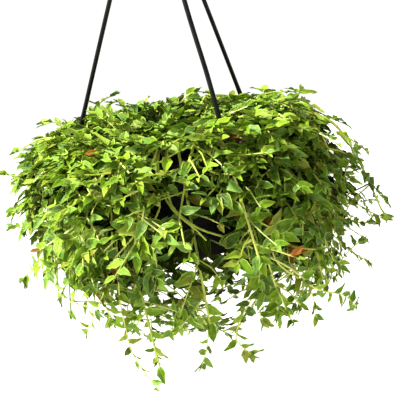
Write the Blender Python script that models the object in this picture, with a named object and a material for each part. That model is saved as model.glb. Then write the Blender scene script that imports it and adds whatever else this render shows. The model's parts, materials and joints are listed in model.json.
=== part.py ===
"""A turtle vine growing in a black plastic hanging basket, with its three-armed hanger.

Sizes are in metres and +Z is up. The origin is the seat inside the top of the hook, where the
basket hangs. The basket's own middle line is the Z axis, and the front of the plant faces -Y.
The vine is 44 leafy stems. Each grows out of its own hole in the soil, arches over the rim and
ends in a small rosette, and is one solid with its side shoots and its keeled leaves.
"""

import math
import random

import bmesh
import bpy
from mathutils import Matrix, Vector
from mathutils.bvhtree import BVHTree

# Driving dimensions of the basket
RIM_Z = -0.335
RIM_RADIUS = 0.126
POT_HEIGHT = 0.115
POT_TOP_RADIUS = 0.1135
POT_BASE_RADIUS = 0.080
WALL = 0.0020
BASE_THICKNESS = 0.0025
FLANGE_THICKNESS = 0.0025
LIP_DEPTH = 0.0075
POT_SIDES = 28
DRAIN_COUNT = 6
DRAIN_RADIUS = 0.0045
DRAIN_RING = 0.058
EDGE_ROUND = 0.0012
SOIL_BELOW_RIM = 0.012
SOIL_DOME = 0.003
SOIL_SHOULDER_RADIUS = 0.045
CLEARANCE = 0.0003

# Driving dimensions of the hanger
ARM_ANGLES = {"left": 169.4, "back": 49.4, "front": -70.6}
ARM_BOWS = {"left": 0.0005, "back": 0.0005, "front": 0.0050}
ARM_SWAYS = {"left": 0.0, "back": 0.0, "front": -0.0040}
ARM_FOOT_RADIUS = 0.1187
ARM_APEX_HEIGHT = 0.291
ARM_HALF_WIDTH = 0.0024
ARM_END_HALF_WIDTH = 0.0032
ARM_FLARE = 0.034
ARM_SIDES = 8
ARM_SECTIONS = 9
FOOT_HALF_WIDTH = 0.0060
FOOT_HALF_DEPTH = 0.0030
FOOT_THICKNESS = 0.0025
HUB_RADIUS = 0.0145
HUB_HEIGHT = 0.0160
SOCKET_RING = 0.0085
SOCKET_DEPTH = 0.0080
HOOK_INNER_RADIUS = 0.0130
HOOK_ROD_RADIUS = 0.0026
HOOK_SIDES = 8

# Driving dimensions of the vine
STEM_RADIUS = 0.0017
STEM_TIP_RADIUS = 0.0012
SHOOT_RADIUS = 0.0012
STEM_SIDES = 3
HOLE_DEPTH = 0.022
LEAF_LENGTH = 0.0212
LEAF_WIDTH_SHARE = 0.53
LEAF_THICKNESS = 0.00072
LEAF_FOLD = 0.34
LEAF_DROOP = 0.14
BLADE_OUTLINE = ((0.30, 1.0), (0.64, 0.74))
NECK_RADIUS = 0.00070
FACET_SHARE = 0.22
FREE_NECK = 0.0034
LEAST_LEAN = 0.30
LEAST_RISE = 0.0003
MOST_SHIFT = 0.020
TEST_MARGIN = 0.0004
STEM_TRIES = 24
LEAF_TRIES = 10
SEED = 1907

UP = Vector((0.0, 0.0, 1.0))
BLACK = (0.012, 0.012, 0.013)

# Each kind of stem: how far from the middle it leaves the soil, how high above the rim it passes,
# how far from the middle its tip lies, how high the tip is against the rim, and how much higher it
# lies on the plant's high side, at its right. The plant leans a little to its left, and its hanging
# stems are shorter there and longer at the back. Its longest stem trails at the front left and
# swings towards the middle, and a sprig stands out and hangs at its right.
KINDS = {
    "crown": {"root": 0.030, "over": 0.021, "reach": 0.096, "tip": 0.010, "slope": 0.012},
    "shoulder": {"root": 0.062, "over": 0.014, "reach": 0.155, "tip": -0.026, "slope": 0.009},
    "side": {"root": 0.080, "over": 0.013, "reach": 0.170, "tip": -0.086, "slope": 0.003},
    "skirt": {"root": 0.094, "over": 0.012, "reach": 0.157, "tip": -0.150, "slope": 0.0},
    "trail": {"root": 0.097, "over": 0.012, "reach": 0.138, "tip": -0.188, "slope": 0.0},
}
HIGH_ANGLE = -20.0
LEAN = 0.012
LEFT_LIFT = 0.045
BACK_DROP = 0.022
LONGEST_ANGLE = 240.0
LONGEST_EXTRA = 0.044
LONGEST_TURN = 11.0
SPRIG_ANGLE = -15.0
SPRIG_EXTRA = 0.040
SPRIG_DROP = 0.026
CROWN_COUNT = 8
OUTER_ORDER = ("shoulder", "side", "skirt", "shoulder", "side", "trail") * 6
OUTER_START = 5.0
OUTER_STEP = 360.0 / len(OUTER_ORDER)


def cos_deg(degrees):
    return math.cos(math.radians(degrees))


def sin_deg(degrees):
    return math.sin(math.radians(degrees))


def polar(radius, degrees, z):
    return Vector((radius * cos_deg(degrees), radius * sin_deg(degrees), z))


def clear_scene():
    for thing in list(bpy.data.objects):
        bpy.data.objects.remove(thing, do_unlink=True)
    for mesh in list(bpy.data.meshes):
        bpy.data.meshes.remove(mesh)


def make_material(name, colour, roughness, metallic=0.0):
    material = bpy.data.materials.new(name)
    material.use_nodes = True
    shader = material.node_tree.nodes["Principled BSDF"]
    shader.inputs["Base Color"].default_value = (*colour, 1.0)
    shader.inputs["Roughness"].default_value = roughness
    shader.inputs["Metallic"].default_value = metallic
    material.diffuse_color = (*colour, 1.0)
    return material


def make_object(name, shape, material=None):
    """An object from a pair of points and faces, turned so that its faces point out."""
    points, faces = shape
    form = bmesh.new()
    corners = [form.verts.new(point) for point in points]
    for face in faces:
        form.faces.new([corners[index] for index in face])
    bmesh.ops.recalc_face_normals(form, faces=form.faces)
    mesh = bpy.data.meshes.new(name)
    form.to_mesh(mesh)
    form.free()
    thing = bpy.data.objects.new(name, mesh)
    bpy.context.scene.collection.objects.link(thing)
    if material:
        mesh.materials.append(material)
    return thing


def lathe(profile, sides):
    """The solid turned by a profile that starts and ends on the Z axis."""
    points = [Vector((0.0, 0.0, profile[0][1]))]
    for radius, z in profile[1:-1]:
        points += [polar(radius, 360.0 * side / sides, z) for side in range(sides)]
    points.append(Vector((0.0, 0.0, profile[-1][1])))
    rings = len(profile) - 2
    last = len(points) - 1
    faces = []
    for side in range(sides):
        after = (side + 1) % sides
        faces.append((0, 1 + side, 1 + after))
        faces.append((last, last - sides + after, last - sides + side))
        for ring in range(rings - 1):
            low = 1 + ring * sides
            high = low + sides
            faces.append((low + side, high + side, high + after, low + after))
    return points, faces


def sweep(centres, across, ups, radii_across, radii_up, sides, turn=0.0):
    """A tube through the centres, with its section's two half widths given at each centre."""
    points = []
    for centre, side_axis, up_axis, half_side, half_up in zip(
        centres, across, ups, radii_across, radii_up
    ):
        for corner in range(sides):
            angle = 2.0 * math.pi * corner / sides + turn
            points.append(
                centre
                + side_axis * (half_side * math.cos(angle))
                + up_axis * (half_up * math.sin(angle))
            )
    faces = [tuple(reversed(range(sides)))]
    for ring in range(len(centres) - 1):
        for corner in range(sides):
            after = (corner + 1) % sides
            low = ring * sides
            high = low + sides
            faces.append((low + corner, low + after, high + after, high + corner))
    top = (len(centres) - 1) * sides
    faces.append(tuple(range(top, top + sides)))
    return points, faces


def tube(centres, radii, sides):
    """A round tube through the centres, its section carried along without twisting."""
    tangents = []
    for index, centre in enumerate(centres):
        before = centres[max(index - 1, 0)]
        after = centres[min(index + 1, len(centres) - 1)]
        tangents.append((after - before).normalized())
    helper = UP
    if abs(tangents[0].dot(helper)) > 0.9:
        helper = Vector((centres[-1].x, centres[-1].y, 0.0))
        if helper.length < 1e-6 or abs(tangents[0].dot(helper.normalized())) > 0.9:
            helper = Vector((1.0, 0.0, 0.0))
    side_axis = tangents[0].cross(helper).normalized()
    across = []
    ups = []
    for tangent in tangents:
        side_axis = (side_axis - tangent * side_axis.dot(tangent)).normalized()
        across.append(side_axis.copy())
        ups.append(tangent.cross(side_axis))
    return sweep(centres, across, ups, radii, radii, sides)


def box(centre, axes, halves):
    points = []
    for x in (-1, 1):
        for y in (-1, 1):
            for z in (-1, 1):
                offset = axes[0] * (x * halves[0]) + axes[1] * (y * halves[1])
                points.append(centre + offset + axes[2] * (z * halves[2]))
    faces = [(0, 1, 3, 2), (4, 6, 7, 5), (0, 4, 5, 1), (2, 3, 7, 6), (0, 2, 6, 4), (1, 5, 7, 3)]
    return points, faces


def bake(thing):
    """Keeps the mesh that the object's modifiers make, and removes the modifiers."""
    graph = bpy.context.evaluated_depsgraph_get()
    mesh = bpy.data.meshes.new_from_object(thing.evaluated_get(graph))
    thing.modifiers.clear()
    old = thing.data
    thing.data = mesh
    bpy.data.meshes.remove(old)


def combine(thing, shapes, operation):
    """One exact Boolean of the object with every shape, applied."""
    helpers = bpy.data.collections.new(thing.name + "_helpers")
    bpy.context.scene.collection.children.link(helpers)
    made = [make_object(f"{thing.name}_helper_{i}", shape) for i, shape in enumerate(shapes)]
    for helper in made:
        bpy.context.scene.collection.objects.unlink(helper)
        helpers.objects.link(helper)
    modifier = thing.modifiers.new("combine", "BOOLEAN")
    modifier.operation = operation
    modifier.solver = "EXACT"
    modifier.operand_type = "COLLECTION"
    modifier.collection = helpers
    bpy.context.view_layer.update()
    bake(thing)
    for helper in made:
        mesh = helper.data
        bpy.data.objects.remove(helper, do_unlink=True)
        bpy.data.meshes.remove(mesh)
    bpy.data.collections.remove(helpers)


def finish_smooth(thing, degrees=35.0):
    thing.data.shade_smooth()
    thing.data.set_sharp_from_angle(angle=math.radians(degrees))


# The basket


def pot_outer_radius(z):
    """The outer radius of the pot's tapered wall at a height."""
    share = (z - (RIM_Z - POT_HEIGHT)) / POT_HEIGHT
    return POT_BASE_RADIUS + (POT_TOP_RADIUS - POT_BASE_RADIUS) * share


def foot_centre(degrees):
    drop = FLANGE_THICKNESS + CLEARANCE + 0.5 * FOOT_THICKNESS
    return polar(ARM_FOOT_RADIUS, degrees, RIM_Z - drop)


def pot_profile():
    bottom = RIM_Z - POT_HEIGHT
    under_flange = RIM_Z - FLANGE_THICKNESS
    lip_bottom = RIM_Z - LIP_DEPTH
    return [
        (0.0, bottom),
        (POT_BASE_RADIUS - EDGE_ROUND, bottom),
        (pot_outer_radius(bottom + EDGE_ROUND), bottom + EDGE_ROUND),
        (pot_outer_radius(under_flange), under_flange),
        (RIM_RADIUS - WALL, under_flange),
        (RIM_RADIUS - WALL, lip_bottom),
        (RIM_RADIUS, lip_bottom),
        (RIM_RADIUS, RIM_Z - EDGE_ROUND),
        (RIM_RADIUS - EDGE_ROUND, RIM_Z),
        (POT_TOP_RADIUS - WALL, RIM_Z),
        (POT_BASE_RADIUS - WALL, bottom + BASE_THICKNESS),
        (0.0, bottom + BASE_THICKNESS),
    ]


def make_pot():
    material = make_material("black_pot", BLACK, 0.42)
    pot = make_object("pot", lathe(pot_profile(), POT_SIDES), material)
    cutters = []
    middle = RIM_Z - POT_HEIGHT + 0.5 * BASE_THICKNESS
    low = middle - 1.5 * BASE_THICKNESS
    high = middle + 1.5 * BASE_THICKNESS
    for drain in range(DRAIN_COUNT):
        angle = 360.0 * (drain + 0.5) / DRAIN_COUNT
        ends = [polar(DRAIN_RING, angle, low), polar(DRAIN_RING, angle, high)]
        cutters.append(tube(ends, [DRAIN_RADIUS] * 2, 8))
    slot = ARM_END_HALF_WIDTH + CLEARANCE
    for angle in ARM_ANGLES.values():
        centre = polar(ARM_FOOT_RADIUS, angle, RIM_Z - 0.5 * FLANGE_THICKNESS)
        radial = polar(1.0, angle, 0.0)
        tangent = polar(1.0, angle + 90.0, 0.0)
        cutters.append(box(centre, (radial, tangent, UP), (slot, slot, FLANGE_THICKNESS)))
    combine(pot, cutters, "DIFFERENCE")
    finish_smooth(pot)
    return pot


def soil_profile():
    bottom = RIM_Z - POT_HEIGHT + BASE_THICKNESS + CLEARANCE
    top = RIM_Z - SOIL_BELOW_RIM
    slope = (POT_TOP_RADIUS - POT_BASE_RADIUS) / (POT_HEIGHT - BASE_THICKNESS)
    edge = POT_BASE_RADIUS - WALL - 1.6 * CLEARANCE
    return [
        (0.0, bottom),
        (edge, bottom),
        (edge + slope * (top - bottom), top),
        (SOIL_SHOULDER_RADIUS, top + 0.7 * SOIL_DOME),
        (0.0, top + SOIL_DOME),
    ]


def soil_height(radius):
    """The height of the soil's gently domed top at a distance from the middle."""
    (outer, outer_z), (inner, inner_z), (_, middle_z) = soil_profile()[2:]
    if radius < inner:
        return middle_z + (inner_z - middle_z) * radius / inner
    return inner_z + (outer_z - inner_z) * (radius - inner) / (outer - inner)


def make_soil(holes):
    material = make_material("potting_soil", (0.035, 0.020, 0.012), 0.95)
    soil = make_object("soil", lathe(soil_profile(), POT_SIDES), material)
    combine(soil, holes, "DIFFERENCE")
    return soil


# The hanger


def arm_centres(name):
    """Points down one arm: its slanting run, then the short upright end in the pot's slot."""
    angle = ARM_ANGLES[name]
    apex = RIM_Z + ARM_APEX_HEIGHT
    slope = ARM_FOOT_RADIUS / ARM_APEX_HEIGHT
    top_radius = SOCKET_RING - 0.4 * SOCKET_DEPTH * slope
    knee_radius = ARM_FOOT_RADIUS - 0.0012
    centres = []
    for section in range(ARM_SECTIONS):
        share = section / (ARM_SECTIONS - 1)
        radius = top_radius + (knee_radius - top_radius) * share
        z = apex - radius / slope
        bow = ARM_BOWS[name] * math.sin(math.pi * share)
        sway = polar(ARM_SWAYS[name] * math.sin(math.pi * share) ** 4, angle + 90.0, 0.0)
        centres.append(polar(radius + bow, angle, z + bow * slope) + sway)
    centres.append(polar(ARM_FOOT_RADIUS, angle, RIM_Z - 0.0005))
    centres.append(polar(ARM_FOOT_RADIUS, angle, foot_centre(angle).z))
    return centres


def make_arm(name, material):
    angle = ARM_ANGLES[name]
    centres = arm_centres(name)
    tangent = polar(1.0, angle + 90.0, 0.0)
    ups = []
    for index in range(len(centres)):
        before = centres[max(index - 1, 0)]
        after = centres[min(index + 1, len(centres) - 1)]
        ups.append((after - before).normalized().cross(tangent))
    ups[-1] = polar(1.0, angle, 0.0)
    halves = []
    for centre in centres:
        share = max(0.0, 1.0 - (centre.z - RIM_Z) / ARM_FLARE)
        halves.append(ARM_HALF_WIDTH + (ARM_END_HALF_WIDTH - ARM_HALF_WIDTH) * min(1.0, share))
    turn = math.pi / ARM_SIDES
    shape = sweep(centres, [tangent] * len(centres), ups, halves, halves, ARM_SIDES, turn)
    arm = make_object("hanger_arm_" + name, shape, material)
    axes = (polar(1.0, angle, 0.0), tangent, UP)
    foot = box(foot_centre(angle), axes, (FOOT_HALF_DEPTH, FOOT_HALF_WIDTH, 0.5 * FOOT_THICKNESS))
    combine(arm, [foot], "UNION")
    finish_smooth(arm)
    return arm


def hub_bottom():
    return RIM_Z + ARM_APEX_HEIGHT - SOCKET_RING * ARM_APEX_HEIGHT / ARM_FOOT_RADIUS


def hook_centres():
    """Up from the hub, round the side of the hook, over its seat and down to its open end."""
    loop = HOOK_INNER_RADIUS + HOOK_ROD_RADIUS
    top = hub_bottom() + HUB_HEIGHT
    centres = [Vector((0.0, 0.0, top - 0.004)), Vector((0.0, 0.0, top + 0.005))]
    centres.append(Vector((0.0035, 0.0, -HOOK_INNER_RADIUS - 1.42 * loop)))
    for degrees in range(-48, 205, 21):
        x = loop * cos_deg(degrees)
        z = loop * sin_deg(degrees) - HOOK_INNER_RADIUS
        centres.append(Vector((x, 0.0, z)))
    return centres


def make_hook(material):
    low = hub_bottom()
    profile = [
        (0.0, low),
        (HUB_RADIUS, low),
        (HUB_RADIUS, low + 0.25 * HUB_HEIGHT),
        (0.62 * HUB_RADIUS, low + 0.80 * HUB_HEIGHT),
        (0.30 * HUB_RADIUS, low + HUB_HEIGHT),
        (0.0, low + HUB_HEIGHT),
    ]
    hook = make_object("hanger_hook", lathe(profile, 16), material)
    centres = hook_centres()
    combine(hook, [tube(centres, [HOOK_ROD_RADIUS] * len(centres), HOOK_SIDES)], "UNION")
    sockets = []
    for name in ARM_ANGLES:
        first, second = arm_centres(name)[:2]
        along = (first - second).normalized()
        start = first + along * CLEARANCE
        end = first - along * (2.0 * SOCKET_DEPTH)
        radius = ARM_HALF_WIDTH / cos_deg(180.0 / ARM_SIDES) + 1.3 * CLEARANCE
        sockets.append(tube([start, end], [radius] * 2, 8))
    combine(hook, sockets, "DIFFERENCE")
    finish_smooth(hook)
    return hook


# The vine


def outward(point):
    """The direction in which the dome of leaves faces at a point, leaning a little upwards."""
    middle = RIM_Z - 0.070
    facing = Vector((point.x / 0.200**2, point.y / 0.200**2, (point.z - middle) / 0.125**2))
    return (facing.normalized() + 0.35 * UP).normalized()


def leaf_frame(along, facing):
    """The leaf's own axes: to its tip, across it, and square to its upper face."""
    across = facing.cross(along).normalized()
    return along, across, along.cross(across).normalized()


def blade_points(root, frame, length, margin=0.0):
    """The blade's outline, upper and lower, on each side of the midrib, then its tip."""
    along, across, facing = frame
    half = 0.5 * LEAF_WIDTH_SHARE * length
    thickness = LEAF_THICKNESS + 2.0 * margin
    points = []
    for side in (1, -1):
        for share, width in BLADE_OUTLINE:
            x = share * length
            y = width * half + margin
            rise = LEAF_FOLD * y - LEAF_DROOP * x * x / length
            for height in (rise + 0.5 * thickness, rise - 0.5 * thickness):
                points.append(root + along * x + across * (side * y) + facing * height)
    points.append(root + along * (length + margin) - facing * (LEAF_DROOP * length))
    return points


def blade_faces(ring, first):
    """The faces from the leaf's three-cornered root to its tip, where its points start at first."""
    top, right, left = ring
    tip = first + 8
    faces = [(left, right, tip)]
    for low, base, mirrored in ((left, first, False), (right, first + 4, True)):
        wide_top, wide_low, narrow_top, narrow_low = range(base, base + 4)
        half = [
            (top, narrow_top, wide_top),
            (top, tip, narrow_top),
            (low, wide_low, narrow_low),
            (low, narrow_low, tip),
            (top, wide_low, low),
            (top, wide_top, wide_low),
            (wide_top, narrow_low, wide_low),
            (wide_top, narrow_top, narrow_low),
            (narrow_top, tip, narrow_low),
        ]
        faces += [face[::-1] if mirrored else face for face in half]
    return faces


def root_ring(root, normal, facing, radius):
    """Three points round the leaf's root in the plane of the stem's facet, the first on top."""
    up = (facing - normal * facing.dot(normal)).normalized()
    side = normal.cross(up)
    ring = []
    for turn in (0.0, 120.0, 240.0):
        ring.append(root + (up * cos_deg(turn) + side * sin_deg(turn)) * radius)
    return ring


def leaf_solid(root, frame, length, margin=0.0):
    """The leaf as a closed shape of its own, to test what it would touch."""
    along, _, facing = frame
    points = root_ring(root, along, facing, NECK_RADIUS + margin)
    points += blade_points(root, frame, length, margin)
    return points, blade_faces((0, 1, 2), 3) + [(0, 2, 1)]


def bezier(a, b, c, share):
    return a * (1 - share) ** 2 + b * (2 * share * (1 - share)) + c * share**2


def stem_points(kind, angle, draw):
    """The route of one stem, from the bottom of its hole in the soil to its tip."""
    rule = KINDS[kind]
    root_radius = rule["root"] + draw.uniform(-0.006, 0.006)
    rise = rule["slope"] * cos_deg(angle - HIGH_ANGLE)
    over = rule["over"] + draw.uniform(-0.003, 0.006) + rise
    reach = rule["reach"] + draw.uniform(-0.010, 0.010) - LEAN * cos_deg(angle)
    tip = rule["tip"] + draw.uniform(-0.018, 0.018) + rise
    longest = max(0.0, cos_deg(angle - LONGEST_ANGLE)) ** 4 if kind == "trail" else 0.0
    tip -= LONGEST_EXTRA * longest
    if kind in ("skirt", "trail"):
        tip += LEFT_LIFT * max(0.0, -cos_deg(angle)) ** 2 - BACK_DROP * max(0.0, sin_deg(angle))
    if kind == "side":
        sprig = max(0.0, cos_deg(angle - SPRIG_ANGLE)) ** 40
        reach += SPRIG_EXTRA * sprig
        tip -= SPRIG_DROP * sprig
    drift = draw.uniform(-7.0, 7.0) + LONGEST_TURN * longest
    ground = soil_height(root_radius)
    root = polar(root_radius, angle, ground)
    points = [root - HOLE_DEPTH * UP, root + 0.004 * UP]
    if kind == "crown":
        crest = polar(0.55 * root_radius + 0.45 * reach, angle, RIM_Z + over)
        end = polar(reach, angle + drift, RIM_Z + tip)
        for share in (0.30, 0.62, 1.0):
            points.append(bezier(points[1], crest, end, share))
        return points
    crossing = polar(RIM_RADIUS - 0.002, angle, RIM_Z + over)
    knee = polar(0.5 * (root_radius + RIM_RADIUS) - 0.008, angle, RIM_Z + over + 0.004)
    for share in (0.45, 1.0):
        points.append(bezier(points[1], knee, crossing, share))
    steep = kind in ("skirt", "trail")
    bend = max(reach, 0.154) if steep else 0.120 + (reach - 0.120) * 0.92
    elbow = polar(bend, angle + 0.3 * drift, RIM_Z + over - 0.006)
    end = polar(reach, angle + drift, RIM_Z + tip)
    shares = (0.14, 0.42, 0.72, 1.0) if steep else (0.35, 0.68, 1.0)
    for share in shares:
        points.append(bezier(crossing, elbow, end, share))
    points[-1] = points[-1] + polar(0.010, angle + drift, 0.006)
    return points


def along_route(points, share):
    """The point and direction at a share of the route above the soil."""
    run = points[1:]
    lengths = [(b - a).length for a, b in zip(run, run[1:])]
    left = share * sum(lengths)
    for index, length in enumerate(lengths):
        if left <= length or index == len(lengths) - 1:
            part = min(left / length, 1.0)
            direction = (run[index + 1] - run[index]).normalized()
            return run[index].lerp(run[index + 1], part), direction
        left -= length
    return run[-1], (run[-1] - run[-2]).normalized()


def shoot_points(start, direction, side, draw, length):
    """A short side shoot that leaves its stem sideways and outwards."""
    facing = outward(start)
    sideways = direction.cross(facing).normalized() * side
    drop = draw.uniform(0.0, 0.30)
    way = direction * 0.55 + sideways * 0.75 + facing * 0.30 - drop * UP
    return [start, start + way.normalized() * length]


def leaf_directions(point, direction, side, spread, draw):
    """Which way a leaf points and faces. Spread is its angle from the stem in degrees."""
    facing = outward(point)
    if abs(direction.dot(facing)) > 0.85:
        facing = (facing + polar(0.3, 40.0, 0.8)).normalized()
    sideways = direction.cross(facing).normalized()
    turn = math.radians(spread)
    along = direction * math.cos(turn) + sideways * (side * math.sin(turn))
    along = (along + facing * draw.uniform(0.05, 0.35)).normalized()
    tilt = Matrix.Rotation(draw.uniform(-0.6, 0.6), 3, along)
    return along, tilt @ facing


def tree_of(shapes):
    points = []
    faces = []
    for shape_points, shape_faces in shapes:
        base = len(points)
        points += shape_points
        faces += [tuple(base + index for index in face) for face in shape_faces]
    return BVHTree.FromPolygons(points, faces)


def below_soil(shape):
    for point in shape[0]:
        radius = math.hypot(point.x, point.y)
        if radius < POT_TOP_RADIUS and point.z < soil_height(radius) + 2.0 * TEST_MARGIN:
            return True
    return False


def is_clear(shape, trees):
    tree = tree_of([shape])
    return not any(tree.overlap(other) for other in trees)


def tapering(count, radius, tip_radius):
    return [radius + (tip_radius - radius) * i / (count - 1) for i in range(count)]


def stem_shape(points, radius, tip_radius):
    """The stem with a margin round it, to test what it would touch."""
    margin = 2.0 * TEST_MARGIN
    return tube(points, tapering(len(points), radius + margin, tip_radius + margin), STEM_SIDES)


def find_stems(kind, angle, draw, trees):
    """A stem and two side shoots that touch nothing that stands already."""
    for _ in range(STEM_TRIES):
        main = stem_points(kind, angle + draw.uniform(-2.5, 2.5), draw)
        side = draw.choice((-1, 1))
        shoots = []
        for share, turn in ((0.56, side), (0.78, -side)):
            start, direction = along_route(main, share)
            length = draw.uniform(0.026, 0.044)
            shoots.append(shoot_points(start, direction, turn, draw, length))
        tests = [stem_shape(shoot, SHOOT_RADIUS, STEM_TIP_RADIUS) for shoot in shoots]
        if any(below_soil(test) for test in tests):
            continue
        tests.append(stem_shape(main, STEM_RADIUS, STEM_TIP_RADIUS))
        if all(is_clear(test, trees) for test in tests):
            return main, shoots
    return None


class Growth:
    """One stem as a single closed mesh. Leaves and shoots are raised from its own facets."""

    def __init__(self, centres, radii):
        self.points, walls = tube(centres, radii, STEM_SIDES)
        self.faces = [walls[0]]
        self.facets = []
        rings = [list(range(i * STEM_SIDES, (i + 1) * STEM_SIDES)) for i in range(len(centres))]
        for index in range(len(centres) - 1):
            axis = 0.5 * (centres[index] + centres[index + 1])
            self.add_walls(rings[index], rings[index + 1], axis, index > 0)
        self.tip = self.facing_out(rings[-1], centres[-2])

    def facing_out(self, corners, inside):
        """The corners in the order that makes their face point away from an inner point."""
        a, b, c = (self.points[index] for index in corners)
        if (b - a).cross(c - a).dot(a - inside) < 0.0:
            return [corners[0], corners[2], corners[1]]
        return list(corners)

    def add_walls(self, low, high, axis, usable):
        """Joins two rings of points, and lists each facet that a leaf or shoot can leave."""
        for corner in range(STEM_SIDES):
            after = (corner + 1) % STEM_SIDES
            lower = (low[corner], low[after], high[after])
            upper = (high[after], high[corner], low[corner])
            for triangle in (lower, upper):
                corners = tuple(self.facing_out(triangle, axis))
                self.faces.append(corners)
                if usable:
                    self.facets.append(self.facet_of(triangle, corners))

    def facet_of(self, triangle, corners):
        """A facet's corners, the spot for a root, its normal and its width at that spot."""
        start, end, apex = (self.points[index] for index in triangle)
        spot = (0.5 * (start + end)).lerp(apex, FACET_SHARE)
        width = (start - end).length * (1.0 - FACET_SHARE)
        a, b, c = (self.points[index] for index in corners)
        return corners, spot, (b - a).cross(c - a).normalized(), width

    def near_facets(self, point, along):
        """The free facets near a point that a shoot in this direction can leave, nearest first."""
        found = []
        for order, facet in enumerate(self.facets):
            lean = facet[2].dot(along)
            cost = (facet[1] - point).length + 0.006 * (1.0 - lean)
            if lean > LEAST_LEAN and cost < MOST_SHIFT:
                found.append((cost, order, facet))
        return [facet for _, _, facet in sorted(found, key=lambda item: item[:2])]

    def state(self):
        return len(self.points), list(self.faces), list(self.facets)

    def restore(self, state):
        del self.points[state[0]:]
        self.faces = state[1]
        self.facets = state[2]

    def crosses_itself(self, old_faces):
        """Whether a face added since then passes through any face that it doesn't meet."""
        known = set(old_faces)
        fresh = [face for face in self.faces if face not in known]
        tree = BVHTree.FromPolygons(self.points, fresh)
        whole = BVHTree.FromPolygons(self.points, self.faces)
        for one, other in tree.overlap(whole):
            if not set(fresh[one]) & set(self.faces[other]):
                return True
        return False

    def open_facet(self, facet, facing):
        """Replaces a facet by a collar round three new points, and returns their indices."""
        corners, spot, normal, width = facet
        ring_points = root_ring(spot, normal, facing, 0.33 * width)
        first = len(self.points)
        ring = [first, first + 1, first + 2]
        self.points += ring_points
        collar = self.collar_faces(corners, ring, normal)
        if collar is None:
            del self.points[first:]
            return None
        self.faces.remove(corners)
        self.facets.remove(facet)
        self.faces += collar
        return ring

    def collar_faces(self, outer, ring, normal):
        for shift in range(3):
            inner = ring[shift:] + ring[:shift]
            faces = []
            for k in range(3):
                after = (k + 1) % 3
                quad = (outer[k], outer[after], inner[after], inner[k])
                faces += self.split_quad(quad, normal)
            if len(faces) == 6:
                return faces
        return None

    def split_quad(self, quad, normal):
        """The quad's two triangles, if some diagonal leaves both facing out."""
        a, b, c, d = quad
        for pair in (((a, b, c), (a, c, d)), ((a, b, d), (b, c, d))):
            sizes = []
            for x, y, z in pair:
                p, q, r = self.points[x], self.points[y], self.points[z]
                sizes.append((q - p).cross(r - p).dot(normal))
            if min(sizes) > 1e-8:
                return list(pair)
        return []

    def add_leaf(self, ring, root, frame, length):
        first = len(self.points)
        self.points += blade_points(root, frame, length)
        self.faces += blade_faces(ring, first)

    def add_shoot(self, start, end):
        """A straight side shoot of one run, and its own tip's three corners."""
        way = (end - start).normalized()
        facets = self.near_facets(start, way)
        before = self.state()
        ring = self.open_facet(facets[0], outward(start)) if facets else None
        if ring is None:
            return None
        facet = facets[0]
        finish = []
        for index in ring:
            offset = self.points[index] - facet[1]
            offset -= way * offset.dot(way)
            finish.append(end + offset.normalized() * SHOOT_RADIUS)
        first = len(self.points)
        self.points += finish
        far = [first, first + 1, first + 2]
        self.add_walls(ring, far, 0.5 * (facet[1] + end), True)
        if self.crosses_itself(before[1]):
            self.restore(before)
            return None
        return facet[1], self.facing_out(far, facet[1])


def stem_leaf_places(main, shoots):
    """Where the leaves of one stem sit: point, direction, side, angle and share of full size."""
    places = []
    for index, share in enumerate((0.40, 0.52, 0.64, 0.76, 0.88)):
        point, direction = along_route(main, share)
        places.append((point, direction, 1 if index % 2 else -1, 56.0, 1.08 - 0.04 * index))
    for start, end in shoots:
        direction = (end - start).normalized()
        for side, share in ((1, 0.30), (-1, 0.75)):
            places.append((start.lerp(end, share), direction, side, 56.0, 0.98))
    return places


def settled_frame(facet, along, facing, length):
    """The leaf's axes, rolled just far enough that its blade rises clear of the facet."""
    _, spot, normal, _ = facet
    level = (normal - along * normal.dot(along)).normalized()
    if level.dot(facing) < 0.0:
        level = -level
    for share in (0.0, 0.35, 0.7, 1.0):
        frame = leaf_frame(along, facing.lerp(level, share).normalized())
        wide = blade_points(spot, frame, length)
        if min((wide[index] - spot).dot(normal) for index in (0, 1, 4, 5)) > LEAST_RISE:
            return frame
    return None


def try_leaf(growth, place, draw, trees, own):
    """One leaf, turned until it is clear of its neighbours, and then raised from its stem."""
    point, direction, side, spread, size = place
    for attempt in range(LEAF_TRIES):
        turn = spread + draw.uniform(-8.0, 8.0) * (1.0 + 0.4 * attempt)
        along, facing = leaf_directions(point, direction, side, turn, draw)
        length = LEAF_LENGTH * size * draw.uniform(0.86, 1.12)
        for facet in growth.near_facets(point, along)[:3]:
            frame = settled_frame(facet, along, facing, length)
            if frame and raise_leaf(growth, facet, frame, length, trees, own):
                own.append(leaf_solid(facet[1], frame, length))
                return


def raise_leaf(growth, facet, frame, length, trees, own):
    wide = leaf_solid(facet[1], frame, length, TEST_MARGIN)
    if below_soil(wide) or not is_clear(wide, trees):
        return False
    outer = leaf_solid(facet[1] + frame[0] * FREE_NECK, frame, length - FREE_NECK, TEST_MARGIN)
    if not is_clear(outer, [tree_of(own)]):
        return False
    before = growth.state()
    ring = growth.open_facet(facet, frame[2])
    if ring:
        growth.add_leaf(ring, facet[1], frame, length)
        if not growth.crosses_itself(before[1]):
            return True
    growth.restore(before)
    return False


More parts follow.
